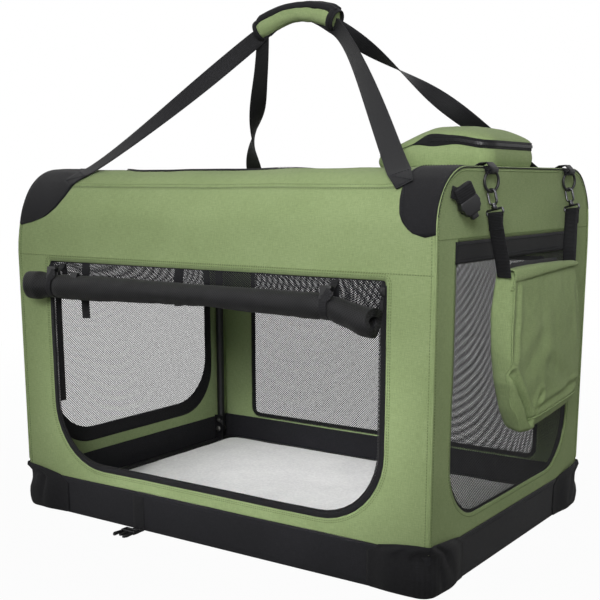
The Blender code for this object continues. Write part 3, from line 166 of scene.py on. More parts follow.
def slubs(tree, cut, across, along):
    """Uneven yarns: a noise drawn out along one direction of the cloth."""
    turned = add(tree, "ShaderNodeMapping", {"Scale": (1 / along, 1 / across, 1)}, {"Vector": cut})
    return add(tree, "ShaderNodeTexNoise", {"Scale": 1, "Detail": 2}, {"Vector": turned.outputs[0]}).outputs[0]


def woven(name, stops, pitch, relief, rough, sheen):
    """Woven yarn cloth: slubs run both ways, a slow drift in tone, and a raised weave whose hollows are painted darker
    as shade.
    """
    made, tree, shader = new_finish(
        name, Roughness=rough, IOR=1.5, Specular_IOR_Level=0.2, Sheen_Weight=sheen, Sheen_Roughness=0.5
    )
    cut, warp_up, height = weave(tree, pitch)
    warp = slubs(tree, cut, 0.010, 0.0011)
    weft = slubs(tree, cut, 0.0011, 0.010)
    yarn = add(tree, "ShaderNodeMix", {"data_type": "FLOAT"}, {0: warp_up, 2: warp, 3: weft}).outputs[0]
    drift = add(tree, "ShaderNodeTexNoise", {"Scale": 9, "Detail": 3}, {"Vector": cut}).outputs[0]
    mixed = add(tree, "ShaderNodeMix", {"data_type": "FLOAT", 0: 0.3}, {2: yarn, 3: drift}).outputs[0]
    # Painted shade: the weave's height darkens the colour where the yarns dip under each other
    hollow_shade = add(tree, "ShaderNodeMath", {"operation": "MULTIPLY_ADD", 1: 0.16, 2: -0.08}, {0: height}).outputs[0]
    both = add(tree, "ShaderNodeMath", {"operation": "ADD"}, {0: mixed, 1: hollow_shade}).outputs[0]
    coloured(tree, shader, both, stops)
    bumped(tree, shader, height, relief, 0.0004)
    return made


def ribbed(name, stops, pitch, relief, rough, slant=0.0):
    """Woven tape: ribs across its length, each from one yarn pair, with painted shade in the valleys between them; a
    slant gives a twill line.
    """
    made, tree, shader = new_finish(name, Roughness=rough, IOR=1.5, Specular_IOR_Level=0.2, Sheen_Weight=0.05)
    cut = add(tree, "ShaderNodeUVMap", {"uv_map": "cut"}).outputs["UV"]
    turned = add(tree, "ShaderNodeMapping", {"Rotation": (0, 0, slant)}, {"Vector": cut}).outputs[0]
    # A wave texture at scale 1 has a line each 0.314 m
    ribs = add(
        tree, "ShaderNodeTexWave", {"Scale": 0.314 / pitch, "Distortion": 0.6, "Detail": 1}, {"Vector": turned}
    ).outputs["Fac"]
    grain = add(tree, "ShaderNodeTexNoise", {"Scale": 420, "Detail": 2}, {"Vector": cut}).outputs[0]
    # Painted shade: the ribs go into the colour as well as the bump, so the valleys between them come out darker
    mixed = add(tree, "ShaderNodeMix", {"data_type": "FLOAT", 0: 0.45}, {2: ribs, 3: grain}).outputs[0]
    coloured(tree, shader, mixed, stops)
    bumped(tree, shader, ribs, relief, 0.0005)
    return made


def knitted(name, stops):
    """Warp-knitted polyester yarn: a fine grain that keeps the black from going flat."""
    made, tree, shader = new_finish(name, Roughness=0.7, IOR=1.5, Specular_IOR_Level=0.2, Sheen_Weight=0.04)
    where = add(tree, "ShaderNodeTexCoord").outputs["Object"]
    grain = add(tree, "ShaderNodeTexNoise", {"Scale": 700, "Detail": 2}, {"Vector": where}).outputs[0]
    coloured(tree, shader, grain, stops)
    bumped(tree, shader, grain, 0.3, 0.0003)
    return made


def wound_net():
    """The same mesh in several layers: the holes are painted dark as the shade of the turns below, and the strands are
    painted lighter as highlight.
    """
    made, tree, shader = new_finish(
        "wound_black_mesh", Roughness=0.65, IOR=1.5, Specular_IOR_Level=0.25, Sheen_Weight=0.05,
    )
    cut = add(tree, "ShaderNodeUVMap", {"uv_map": "cut"}).outputs["UV"]
    turned = add(tree, "ShaderNodeMapping", {"Rotation": (0, 0, math.pi / 4)}, {"Vector": cut}).outputs[0]
    # The real holes are 1.5 mm; they are drawn at 3.2 mm, as the net beside them
    _, crowns = crossed_waves(tree, turned, 0.0032)
    hole = add(tree, "ShaderNodeMath", {"operation": "MULTIPLY"}, {0: crowns[0], 1: crowns[1]}).outputs[0]
    # Painted light: the holes and the fold noise darken the colour as shade, and the strands between the holes stay
    # lighter as highlight
    folds = add(tree, "ShaderNodeTexNoise", {"Scale": 40, "Detail": 3}, {"Vector": cut}).outputs[0]
    shade = add(tree, "ShaderNodeMath", {"operation": "MULTIPLY_ADD", 1: 0.25}, {0: folds, 2: hole}).outputs[0]
    coloured(tree, shader, shade, ((0.05, "#2b2b2e"), (0.35, "#121214"), (0.8, "#060607")))
    bumped(
        tree, shader, add(tree, "ShaderNodeMath", {"operation": "SUBTRACT", 0: 1.0}, {1: hole}).outputs[0], 0.6, 0.0006,
    )
    return made


def fleece_pile():
    """Knitted polyester fleece with a short brushed pile: tips painted bright and hollows between tufts painted grey,
    as light and shade on the pile.
    """
    made, tree, shader = new_finish(
        "brushed_fleece", Roughness=0.95, IOR=1.45, Specular_IOR_Level=0.15, Sheen_Weight=0.35,
    )
    where = add(tree, "ShaderNodeTexCoord").outputs["Object"]
    tufts = add(
        tree, "ShaderNodeTexVoronoi", {"Scale": 210, "feature": "SMOOTH_F1"}, {"Vector": where},
    ).outputs["Distance"]
    tips = add(tree, "ShaderNodeTexNoise", {"Scale": 520, "Detail": 3}, {"Vector": where}).outputs[0]
    lie = add(tree, "ShaderNodeTexNoise", {"Scale": 16, "Detail": 4}, {"Vector": where}).outputs[0]
    # Painted light and shade: the tuft pattern goes into the colour as well as the bump, hollows darker and tips
    # lighter
    both = add(tree, "ShaderNodeMix", {"data_type": "FLOAT", 0: 0.5}, {2: tufts, 3: tips}).outputs[0]
    shade = add(tree, "ShaderNodeMix", {"data_type": "FLOAT", 0: 0.4}, {2: both, 3: lie}).outputs[0]
    coloured(tree, shader, shade, ((0.25, "#d2d2d4"), (0.5, "#e6e6e7"), (0.75, "#f4f4f4")))
    bumped(tree, shader, both, 0.5, 0.002)
    return made


def coated_metal(name, stops, rough, metal, grain_size, relief):
    """Metal under or without a coat: a fine orange peel or plating grain, seen in the highlights."""
    made, tree, shader = new_finish(name, Metallic=metal, IOR=1.5)
    where = add(tree, "ShaderNodeTexCoord").outputs["Object"]
    grain = add(tree, "ShaderNodeTexNoise", {"Scale": 1 / grain_size, "Detail": 3}, {"Vector": where}).outputs[0]
    coloured(tree, shader, grain, stops)
    low, high = rough
    sheen = add(tree, "ShaderNodeMapRange", {"To Min": low, "To Max": high}, {"Value": grain}).outputs[0]
    tree.links.new(sheen, shader.inputs["Roughness"])
    bumped(tree, shader, grain, relief, 0.0002)
    return made


FINISHES = {
    # Polyester oxford cloth, woven and piece-dyed; yarns are 0.5 mm, drawn at 1.3 mm so that they show
    "green": woven(
        "woven_green_oxford", ((0.28, "#7e9062"), (0.5, "#8fa171"), (0.72, "#a2b384")), 0.0013, 0.55, 0.86, 0.06,
    ),
    # The same oxford cloth dyed black, for the corner patches
    "black_cloth": woven(
        "woven_black_oxford", ((0.28, "#0d0d0f"), (0.5, "#161619"), (0.72, "#232327")), 0.0013, 0.7, 0.75, 0.04,
    ),
    # Coated polyester of the base: closer weave under a rubbery film, so it is duller and greyer on top
    "coated": woven(
        "coated_black_oxford", ((0.25, "#111114"), (0.5, "#1a1a1e"), (0.75, "#28282d")), 0.0016, 0.5, 0.66, 0.05,
    ),
    # Polypropylene webbing, woven flat: clear ribs across, drawn at 2.2 mm
    "webbing": ribbed("woven_black_webbing", ((0.3, "#08080a"), (0.55, "#131316"), (0.8, "#222226")), 0.0022, 0.7, 0.6),
    # Grosgrain tape, folded over the cloth edges: ribs drawn at 1.5 mm
    "tape": ribbed(
        "folded_black_grosgrain", ((0.3, "#0a0a0c"), (0.55, "#141417"), (0.8, "#202024")), 0.0015, 0.5, 0.72,
    ),
    "yarn": knitted("knitted_black_mesh_yarn", ((0.3, "#0e0e11"), (0.7, "#1c1c20"))),
    "wound": wound_net(),
    "fleece": fleece_pile(),
    # Powder coat, sprayed and baked: satin black with a slight orange peel of 1.5 mm
    "powder": coated_metal(
        "powder_coated_steel", ((0.3, "#0d0d0f"), (0.7, "#161619")), (0.34, 0.46), 0.0, 0.0015, 0.35,
    ),
    # Nickel plate on stamped steel: bright, with fine tumbling marks
    "nickel": coated_metal(
        "nickel_plated_steel", ((0.3, "#a9a8a4"), (0.7, "#c9c8c4")), (0.22, 0.38), 1.0, 0.0008, 0.15,
    ),
    # Black nickel on die-cast zinc: dark, soft highlights
    "dark_nickel": coated_metal(
        "black_nickel_on_zinc", ((0.3, "#4a4a4d"), (0.7, "#626266")), (0.25, 0.42), 1.0, 0.0009, 0.2,
    ),
    # Acetal, injection-moulded: fine spark-eroded grain and a soft gloss
    "plastic": coated_metal(
        "moulded_black_acetal", ((0.3, "#0f0f11"), (0.7, "#19191c")), (0.40, 0.54), 0.0, 0.0007, 0.25,
    ),
    # Pressed board in a vinyl skin: flat dark grey
    "board": coated_metal("vinyl_skinned_board", ((0.3, "#33353a"), (0.7, "#3d3f44")), (0.6, 0.75), 0.0, 0.0012, 0.3),
    # Polyester sewing thread: a shade darker than the cloth, black on tape and webbing
    "thread": knitted("twisted_green_thread", ((0.3, "#6a7a50"), (0.7, "#7e8f62"))),
    "dark_thread": knitted("twisted_black_thread", ((0.3, "#1c1c20"), (0.7, "#2e2e33"))),
    # Nylon zip coil, drawn and heat-set: glossier than the tape round it
    "coil": coated_metal("drawn_nylon_zip_coil", ((0.3, "#121214"), (0.7, "#242427")), (0.3, 0.42), 0.0, 0.0006, 0.1),
}


# Making meshes

def piece(name, points, faces, finish, uvs=None, smooth=True):
    """An object from points and faces. uvs are one (u, v) for each corner of each face, in metres."""
    mesh = bpy.data.meshes.new(name)
    mesh.from_pydata(points, [], faces)
    if uvs:
        layer = mesh.uv_layers.new(name="cut")
        layer.data.foreach_set("uv", [value for pair in uvs for value in pair])
    if smooth:
        mesh.shade_smooth()
    mesh.materials.append(FINISHES[finish])
    obj = bpy.data.objects.new(name, mesh)
    bpy.context.scene.collection.objects.link(obj)
    return obj


def corner_uvs(flat, faces):
    """Each face corner's place on the flat cut."""
    return [flat[index] for face in faces for index in face]


def lengths_along(points, closed=True):
    """The length run from the first point to each one, and round to the first again on a closed line."""
    lengths = [0.0]
    for near, far in zip(points, points[1:] + points[:1] if closed else points[1:]):
        lengths.append(lengths[-1] + math.dist(near, far))
    return lengths


def grid_cut(count, columns, along, up):
    """The flat cut of a grid's first faces, from the length run to each column and to each row."""
    uvs = []
    for index in range(count):
        row, column = divmod(index, columns)
        for r, c in ((row, column), (row, column + 1), (row + 1, column + 1), (row + 1, column)):
            uvs.append((along[c], up[r]))
    return uvs


def faced(obj, outward):
    """Turns an open sheet's faces to the side that outward(middle of a face) points to."""
    total = sum(face.normal.dot(outward(face.center)) * face.area for face in obj.data.polygons)
    if total < 0:
        obj.data.flip_normals()
    return obj


def settled(obj):
    """Turns an object with modifiers into a plain mesh."""
    graph = bpy.context.evaluated_depsgraph_get()
    mesh = bpy.data.meshes.new_from_object(obj.evaluated_get(graph))
    obj.modifiers.clear()
    old = obj.data
    obj.data = mesh
    mesh.name = obj.name
    bpy.data.meshes.remove(old)
    return obj


def thickened(obj, thickness, offset=-1.0):
    """Gives an open sheet its thickness, inward from its face."""
    shell = obj.modifiers.new("thickness", "SOLIDIFY")
    shell.thickness = thickness
    shell.offset = offset
    shell.use_even_offset = True
    return settled(obj)


def smoothed(obj):
    """Rounds a mesh by subdivision."""
    finer = obj.modifiers.new("rounding", "SUBSURF")
    finer.levels = finer.render_levels = 1
    finer.use_limit_surface = False
    return settled(obj)


def swollen(obj, voxel, pressure, cap, project=None):
    """Fills a padded piece: a finer skin is blown up as cloth, and no point moves further than the cap.

    project(point, normal) gives back the flat cut that the finer skin loses.
    """
    skin = obj.modifiers.new("skin", "REMESH")
    skin.mode = "VOXEL"
    skin.voxel_size = voxel
    settled(obj)
    before = [vertex.co.copy() for vertex in obj.data.vertices]
    cloth = obj.modifiers.new("filling", "CLOTH")
    cloth.settings.quality = 4
    cloth.settings.mass = 0.3
    cloth.settings.use_pressure = True
    cloth.settings.uniform_pressure_force = pressure
    cloth.settings.effector_weights.gravity = 0
    cloth.point_cache.frame_start, cloth.point_cache.frame_end = 1, 20
    for frame_number in range(1, 21):
        bpy.context.scene.frame_set(frame_number)
    graph = bpy.context.evaluated_depsgraph_get()
    after = [vertex.co.copy() for vertex in obj.evaluated_get(graph).data.vertices]
    obj.modifiers.clear()
    for vertex, old, new in zip(obj.data.vertices, before, after):
        step = new - old
        vertex.co = old + step * min(1.0, cap / max(step.length, 1e-9))
    bpy.context.scene.frame_set(1)
    obj.data.shade_smooth()
    smoothed(obj)
    if project:
        layer = obj.data.uv_layers.new(name="cut")
        pairs = []
        for face in obj.data.polygons:
            for index in face.vertices:
                pairs += project(obj.data.vertices[index].co, face.center)
        layer.data.foreach_set("uv", pairs)
    return obj


def grid_faces(rows, columns, closed_rows=False, closed_columns=False):
    """Quads over rows of points."""
    faces = []
    for row in range(rows if closed_rows else rows - 1):
        for column in range(columns if closed_columns else columns - 1):
            after, beside = (row + 1) % rows, (column + 1) % columns
            faces.append(
                (row * columns + column, row * columns + beside, after * columns + beside, after * columns + column)
            )
    return faces


def swept(name, stations, profile, finish, closed=False):
    """A closed profile carried along stations of (centre, side, rise); the profile's (a, b) go along these."""
    rings = []
    for centre, side, rise in stations:
        rings.append([centre + side * a + rise * b for a, b in profile])
    rows, columns = len(rings), len(profile)
    faces = grid_faces(rows, columns, closed_rows=closed, closed_columns=True)
    lengths = lengths_along([centre for centre, _, _ in stations])
    uvs = [(up, along) for along, up in grid_cut(len(faces), columns, lengths_along(profile), lengths)]
    if not closed:
        first, last = tuple(range(columns)), tuple(range((rows - 1) * columns, rows * columns))
        faces += [first[::-1], last]
        uvs += [profile[i] for i in first[::-1]] + [profile[i] for i in first]
    obj = piece(name, [point for ring in rings for point in ring], faces, finish, uvs)
    bm = bmesh.new()
    bm.from_mesh(obj.data)
    if bm.calc_volume(signed=True) < 0:
        bmesh.ops.reverse_faces(bm, faces=bm.faces)
    bm.to_mesh(obj.data)
    bm.free()
    obj.data.set_sharp_from_angle(angle=math.radians(50))
    return obj


def circle(radius, sides=10):
    return [(radius * math.cos(math.tau * k / sides), radius * math.sin(math.tau * k / sides)) for k in range(sides)]


def flat_profile(width, thickness, middle=1):
    """Section of a web: flat faces and round edges."""
    points = []
    half, round_ = width / 2 - thickness / 2, thickness / 2
    for sign in (1, -1):
        for step in range(4):
            angle = -QUARTER + math.pi * step / 3
            points.append((sign * (half + round_ * math.cos(angle)), sign * round_ * math.sin(angle)))
        for step in range(1, middle):
            points.append((sign * (half - 2 * half * step / middle), sign * round_))
    return points


def framed(points, outward, closed=False):
    """Stations along a path whose rise follows outward(point) and whose side is square to both."""
    stations = []
    count = len(points)
    for index, point in enumerate(points):
        before = points[index - 1] if closed or index else point
        after = points[(index + 1) % count] if closed or index < count - 1 else point
        along = (after - before).normalized()
        rise = outward(point)
        rise = (rise - along * rise.dot(along)).normalized()
        stations.append((point, along.cross(rise), rise))
    return stations


def joined(name, parts):
    """Makes several objects one piece; each keeps its own finish."""
    bm = bmesh.new()
    finishes = []
    bm.loops.layers.uv.new("cut")
    mesh = bpy.data.meshes.new(name)
    for part in parts:
        for material in part.data.materials:
            if material not in finishes:
                finishes.append(material)
        places = [finishes.index(material) for material in part.data.materials]
        for face in part.data.polygons:
            face.material_index = places[face.material_index] if len(places) > 1 else places[0]
        bm.from_mesh(part.data)
    bm.to_mesh(mesh)
    bm.free()
    for part in parts:
        bpy.data.objects.remove(part)
    for material in finishes:
        mesh.materials.append(material)
    obj = bpy.data.objects.new(name, mesh)
    bpy.context.scene.collection.objects.link(obj)
    return obj


def ripple(u, v, size, seed=0.0):
    """Smooth noise from -1 to 1 with bumps about size apart."""
    return noise.noise(Vector((u / size, v / size, seed)))


def ease(share):
    share = max(0.0, min(1.0, share))
    return share * share * (3 - 2 * share)


# Places on the crate

def corner_pull(side, run):
    """How far the cloth of a top corner is drawn in towards the crate's middle; it is more on the left."""
    run = min(run, WRAP_LENGTH - run)
    return (0.016 if side < 0 else 0.002) * ease((run - 0.455) / 0.10) * ease((0.735 - run) / 0.09)


def arch_run(y, z):
    """How far along the wrapped cloth a point of an end's outline lies, from the floor at the front."""
    if y > 0:
        return WRAP_LENGTH - arch_run(-y, z)
    out = ROOF_RADIUS - HALF_DEPTH - y
    if z <= SPRING:
        return z
    return SPRING + (ROOF_RADIUS * math.atan2(z - SPRING, out) if out > 0 else BEND - out)


def wrap_point(x, run, lift=0.0):
    """A point over the cloth that goes up the front, over the roof and down the back, and the outward normal."""
    x -= math.copysign(corner_pull(x, run) * ease((abs(x) - 0.29) / 0.115), x)
    return taut_point(x, run, lift)


def taut_point(x, run, lift):
    """The same point before its corner is drawn in."""
    if run > WRAP_LENGTH / 2:
        point, normal = taut_point(x, WRAP_LENGTH - run, lift)
        return Vector((point.x, -point.y, point.z)), Vector((normal.x, -normal.y, normal.z))
    if run < SPRING:
        return Vector((x, -HALF_DEPTH - lift, run)), Vector((0, -1, 0))
    if run < SPRING + BEND:
        angle = (run - SPRING) / ROOF_RADIUS
        normal = Vector((0, -math.cos(angle), math.sin(angle)))
        return Vector((x, ROOF_RADIUS - HALF_DEPTH, SPRING)) + normal * (ROOF_RADIUS + lift), normal
    return Vector((x, ROOF_RADIUS - HALF_DEPTH + run - SPRING - BEND, HEIGHT + lift)), Vector((0, 0, 1))


def wrap_slack(x, run):
    """How far the wrapped cloth gives in, below its taut line."""
    run = min(run, WRAP_LENGTH - run)
    free = max(0.0, 1 - (x / 0.375) ** 2)
    roof = -0.0060 * free * ease((run - 0.575) / 0.16)
    wall = -0.0022 * free * ease((run - 0.10) / 0.1) * ease((0.60 - run) / 0.06)
    folds = 0.0014 * ripple(x, run, 0.12, 1.5) + 0.0007 * ripple(x * 0.6, run, 0.035, 4.5)
    # The roof cloth hangs from its front seam in shallow waves
    folds += 0.0012 * ripple(x, run * 3, 0.06, 9.5) * ease((run - 0.575) / 0.02) * ease((0.70 - run) / 0.05)
    return roof + wall + folds * ease((0.4045 - abs(x)) / 0.02)


def on_wrap(x, run, lift=0.0):
    """A point on the slack cloth, and the normal of the taut line there."""
    return wrap_point(x, run, lift + wrap_slack(x, run))


def end_slack(y, z, side):
    """How far an end wall's cloth gives in."""
    free = ease((0.2845 - abs(y)) / 0.03) * ease((z - 0.07) / 0.03) * ease((0.59 - z) / 0.03)
    return free * (-0.0010 + 0.0010 * ripple(y, z, 0.11, 7.5 + side) + 0.0004 * ripple(y, z, 0.03, 2.5))


def on_end(side, y, z, lift=0.0):
    """A point on an end wall's cloth; near its arch it is drawn in with the corner."""
    out_y, out_z = abs(y) - HALF_DEPTH + ROOF_RADIUS, z - SPRING
    gap = ROOF_RADIUS - math.hypot(out_y, out_z) if out_y > 0 and out_z > 0 else min(HALF_DEPTH - abs(y), HEIGHT - z)
    drawn = corner_pull(side, arch_run(y, z)) * ease(1 - gap / 0.10)
    return Vector((side * (HALF_LENGTH + lift + end_slack(y, z, side) - drawn), y, z))


def inset(window, margin):
    """The same outline, smaller all round."""
    return Window(
        window.left + margin, window.right - margin, window.bottom + margin, window.top - margin,
        max(window.lower - margin, 0.0), max(window.upper - margin, 0.0),
    )


def outline(window, corner=10, across=44, upright=26, spread=0.05):
    """Points round a rounded rectangle, anticlockwise from below its lower right corner.

    A corner without a radius spreads its points over both sides, so that it pairs with a round one.
    """
    corners = (
        (window.right, window.bottom, -1, 1, window.lower, -QUARTER),
        (window.right, window.top, -1, -1, window.upper, 0.0),
        (window.left, window.top, 1, -1, window.upper, QUARTER),
        (window.left, window.bottom, 1, 1, window.lower, math.pi),
    )
    arcs = []
    for u, v, u_in, v_in, radius, start in corners:
        arc = []
        for step in range(corner + 1):
            share = step / corner
            if radius > 0:
                angle = start + QUARTER * share
                arc.append((u + u_in * radius + radius * math.cos(angle), v + v_in * radius + radius * math.sin(angle)))
            elif share <= 0.5:
                back = spread * (1 - 2 * share)
                arc.append((u - math.cos(start + QUARTER) * back, v - math.sin(start + QUARTER) * back))
            else:
                on = spread * (2 * share - 1)
                arc.append((u + math.cos(start + math.pi) * on, v + math.sin(start + math.pi) * on))
        arcs.append(arc)
    points = []
    for index, arc in enumerate(arcs):
        points += arc
        after = arcs[(index + 1) % 4][0]
        count = upright if index % 2 == 0 else across
        for step in range(1, count):
            share = step / count
            points.append((arc[-1][0] + (after[0] - arc[-1][0]) * share, arc[-1][1] + (after[1] - arc[-1][1]) * share))
    return points


def between(outer, inner, steps):
    """Flat points and faces of the ring between two outlines of equal counts."""
    flat = []
    for step in range(steps + 1):
        share = step / steps
        flat += [(a[0] + (b[0] - a[0]) * share, a[1] + (b[1] - a[1]) * share) for a, b in zip(outer, inner)]
    return flat, grid_faces(steps + 1, len(outer), closed_columns=True)


def cloth_ring(name, outer, inner, steps, place, outward):
    """A wall's cloth round its opening, cut flat, laid in place and given its thickness inward."""
    flat, faces = between(outer, inner, steps)
    obj = piece(name, [place(u, v) for u, v in flat], faces, "green", corner_uvs(flat, faces))
    return thickened(faced(obj, outward), CLOTH)


def rim(name, outer, inner, place, outward, thickness=0.0030, crown=0.0008):
    """Binding tape round an opening: a low crown across its width, and a face behind."""
    steps = 6
    flat, faces = between(outer, inner, steps)
    count = len(outer)
    points = []
    for index, (u, v) in enumerate(flat):
        share = index // count / steps
        points.append(place(u, v, crown * math.sin(math.pi * share) ** 0.6 if 0 < share < 1 else 0.0))
    obj = piece(name, points, faces, "tape", corner_uvs(flat, faces))
    # Tape ribs run square to the edge: its cut is laid out along the opening
    pairs = grid_cut(len(faces), count, lengths_along(inner), [row * BINDING / steps for row in range(steps + 1)])
    obj.data.uv_layers["cut"].data.foreach_set("uv", [value for pair in pairs for value in pair])
    return thickened(faced(obj, outward), thickness)


# Repeated small things, made by geometry nodes

def row_tree(name, shape):
    """A tree that sets one small shape after another along each line of a mesh, with its top turned outward."""
    tree = bpy.data.node_groups.new(name, "GeometryNodeTree")
    tree.interface.new_socket("Line", in_out="INPUT", socket_type="NodeSocketGeometry")
    for label in ("Pitch", "Length", "Width", "Height"):
        tree.interface.new_socket(label, in_out="INPUT", socket_type="NodeSocketFloat")
    tree.interface.new_socket("Finish", in_out="INPUT", socket_type="NodeSocketMaterial")
    tree.interface.new_socket("Row", in_out="OUTPUT", socket_type="NodeSocketGeometry")
    given = add(tree, "NodeGroupInput")
    line = add(tree, "GeometryNodeMeshToCurve", links={"Mesh": given.outputs["Line"]})
    points = add(
        tree, "GeometryNodeResampleCurve", {"mode": "LENGTH"},
        {"Curve": line.outputs[0], "Length": given.outputs["Pitch"]},
    )
    size = add(
        tree, "ShaderNodeCombineXYZ",
        links={"X": given.outputs["Length"], "Y": given.outputs["Width"], "Z": given.outputs["Height"]},
    )
    if shape == "ball":
        unit = add(tree, "GeometryNodeMeshUVSphere", {"Segments": 6, "Rings": 4, "Radius": 0.5})
    else:
        unit = add(tree, "GeometryNodeMeshCube")
    sized = add(tree, "GeometryNodeTransform", links={"Geometry": unit.outputs[0], "Scale": size.outputs[0]})
    tangent = add(tree, "GeometryNodeInputTangent")
    outward = add(tree, "GeometryNodeInputNamedAttribute", {"data_type": "FLOAT_VECTOR", "Name": "outward"})
    along = add(tree, "FunctionNodeAlignRotationToVector", {"axis": "X"}, {"Vector": tangent.outputs[0]})
    turned = add(
        tree, "FunctionNodeAlignRotationToVector", {"axis": "Z", "pivot_axis": "X"},
        {"Rotation": along.outputs[0], "Vector": outward.outputs[0]},
    )
    placed = add(
        tree, "GeometryNodeInstanceOnPoints",
        links={"Points": points.outputs[0], "Instance": sized.outputs[0], "Rotation": turned.outputs[0]},
    )
    real = add(tree, "GeometryNodeRealizeInstances", links={"Geometry": placed.outputs[0]})
    done = add(
        tree, "GeometryNodeSetMaterial", links={"Geometry": real.outputs[0], "Material": given.outputs["Finish"]},
    )
    add(tree, "NodeGroupOutput", links={"Row": done.outputs[0]})
    return tree


def net_tree():
    """A tree that opens a hole in each face of a sheet and leaves the strands between them."""
    tree = bpy.data.node_groups.new("net", "GeometryNodeTree")
    tree.interface.new_socket("Sheet", in_out="INPUT", socket_type="NodeSocketGeometry")
    tree.interface.new_socket("Hole share", in_out="INPUT", socket_type="NodeSocketFloat")
    tree.interface.new_socket("Finish", in_out="INPUT", socket_type="NodeSocketMaterial")
    tree.interface.new_socket("Net", in_out="OUTPUT", socket_type="NodeSocketGeometry")
    given = add(tree, "NodeGroupInput")
    pushed = add(
        tree, "GeometryNodeExtrudeMesh", {"mode": "FACES", "Individual": True, "Offset Scale": 0.0},
        {"Mesh": given.outputs["Sheet"]},
    )
    shrunk = add(
        tree, "GeometryNodeScaleElements",
        links={
            "Geometry": pushed.outputs["Mesh"], "Selection": pushed.outputs["Top"],
            "Scale": given.outputs["Hole share"],
        },
    )
    open_net = add(
        tree, "GeometryNodeDeleteGeometry", {"domain": "FACE"},
        {"Geometry": shrunk.outputs[0], "Selection": pushed.outputs["Top"]},
    )
    real = add(tree, "GeometryNodeRealizeInstances", links={"Geometry": open_net.outputs[0]})
    done = add(
        tree, "GeometryNodeSetMaterial", links={"Geometry": real.outputs[0], "Material": given.outputs["Finish"]},
    )
    add(tree, "NodeGroupOutput", links={"Net": done.outputs[0]})
    return tree


TREES = {"stitches": row_tree("stitches", "ball"), "teeth": row_tree("teeth", "block"), "net": net_tree()}


def grown(obj, tree, values):
    """Runs a tree on an object with these inputs, and keeps the result as a plain mesh."""
    growth = obj.modifiers.new("growth", "NODES")
    growth.node_group = TREES[tree]
    for item in TREES[tree].interface.items_tree:
        if item.in_out == "INPUT" and item.name in values:
            growth[item.identifier] = values[item.name]
    return settled(obj)


def rows(name, lines, tree, finish, pitch, length, width, height):
    """Stitches or teeth along lines; each line is a list of (point, outward)."""
    mesh = bpy.data.meshes.new(name)
    points, edges, outward = [], [], []
    for line in lines:
        start = len(points)
        points += [point for point, _ in line]
        outward += [value for _, normal in line for value in normal]
        edges += [(start + index, start + index + 1) for index in range(len(line) - 1)]
    mesh.from_pydata(points, edges, [])
    mesh.attributes.new("outward", "FLOAT_VECTOR", "POINT").data.foreach_set("vector", outward)
    obj = bpy.data.objects.new(name, mesh)
    bpy.context.scene.collection.objects.link(obj)
    values = {"Pitch": pitch, "Length": length, "Width": width, "Height": height, "Finish": FINISHES[finish]}
    return grown(obj, tree, values)


def stitched(name, lines, finish="thread"):
    """Lockstitch along lines that lie on the cloth."""
    return rows(name, lines, "stitches", finish, STITCH_PITCH, STITCH, 2 * THREAD, 2 * THREAD)


def toothed(name, lines):
    """A zip's coil along lines."""
    return rows(name, lines, "teeth", "coil", TOOTH_PITCH, TOOTH_PITCH * 0.6, 0.0042, 0.0016)


def netted(name, region, inside, place, outward, share):
    """A net of diamond holes over a flat region, kept where inside(u, v) holds at all four corners."""
    left, right, bottom, top = region
    columns = int((right - left) / NET_HALF) + 2
    lines = int((top - bottom) / NET_HALF) + 2
    numbers, points, flat, faces = {}, [], [], []

    def number(column, line):
        if (column, line) not in numbers:
            u, v = left + column * NET_HALF, bottom + line * NET_HALF
            numbers[column, line] = len(points)
            points.append(place(u, v))
            flat.append((u, v))
        return numbers[column, line]

    for line in range(1, lines):
        for column in range(1 + (line + 1) % 2, columns, 2):
            near = [(column - 1, line), (column, line - 1), (column + 1, line), (column, line + 1)]
            if all(inside(left + c * NET_HALF, bottom + r * NET_HALF) for c, r in near):
                faces.append([number(c, r) for c, r in near])
    obj = piece(name, points, faces, "yarn", corner_uvs(flat, faces), smooth=False)
    faced(obj, outward)
    return grown(obj, "net", {"Hole share": share, "Finish": FINISHES["yarn"]})


def in_window(window, margin=0.0):
    """A test for points inside a rounded rectangle, grown by a margin."""
    grown_window = inset(window, -margin)

    def inside(u, v):
        left, right, bottom, top, lower, upper = grown_window
        if not (left < u < right and bottom < v < top):
            return False
        radius, edge = (lower, bottom + lower) if v < (bottom + top) / 2 else (upper, top - upper)
        beyond = edge - v if v < (bottom + top) / 2 else v - edge
        out = max(left + radius - u, u - right + radius)
        return not (beyond > 0 and out > 0 and math.hypot(beyond, out) > radius)

    return inside


def line_on(place, points, lift=0.0002):
    """A stitch line through flat points, on a surface whose place(u, v, lift) gives a point and a normal."""
    return [place(u, v, lift) for u, v in points]


def spaced(start, end, step=0.012):
    """Flat points from start to end."""
    count = max(2, int(math.hypot(end[0] - start[0], end[1] - start[1]) / step))
    return [
        (start[0] + (end[0] - start[0]) * k / count, start[1] + (end[1] - start[1]) * k / count)
        for k in range(count + 1)
    ]


def end_place(side):
    """Place and normal on an end wall."""
    return lambda y, z, lift=0.0: (on_end(side, y, z, lift), Vector((side, 0, 0)))


# Crate pieces

def note(obj, body="crate", slot="green_cloth", replaces=(), folds=True):
    """Keeps a finished piece with its body, its slot, the CAD nodes that it stands for, and whether it folds down."""
    made_pieces[obj.name] = (obj, body, slot, replaces, folds)
    return obj


def arch(corner):
    """Outline of an end wall: square at the floor, round at the roof."""
    half, top, radius = HALF_DEPTH - 0.0006, HEIGHT - 0.0006, ROOF_RADIUS - 0.0006
    return outline(Window(-half, half, WALL_BOTTOM, top, 0.0, radius), corner)


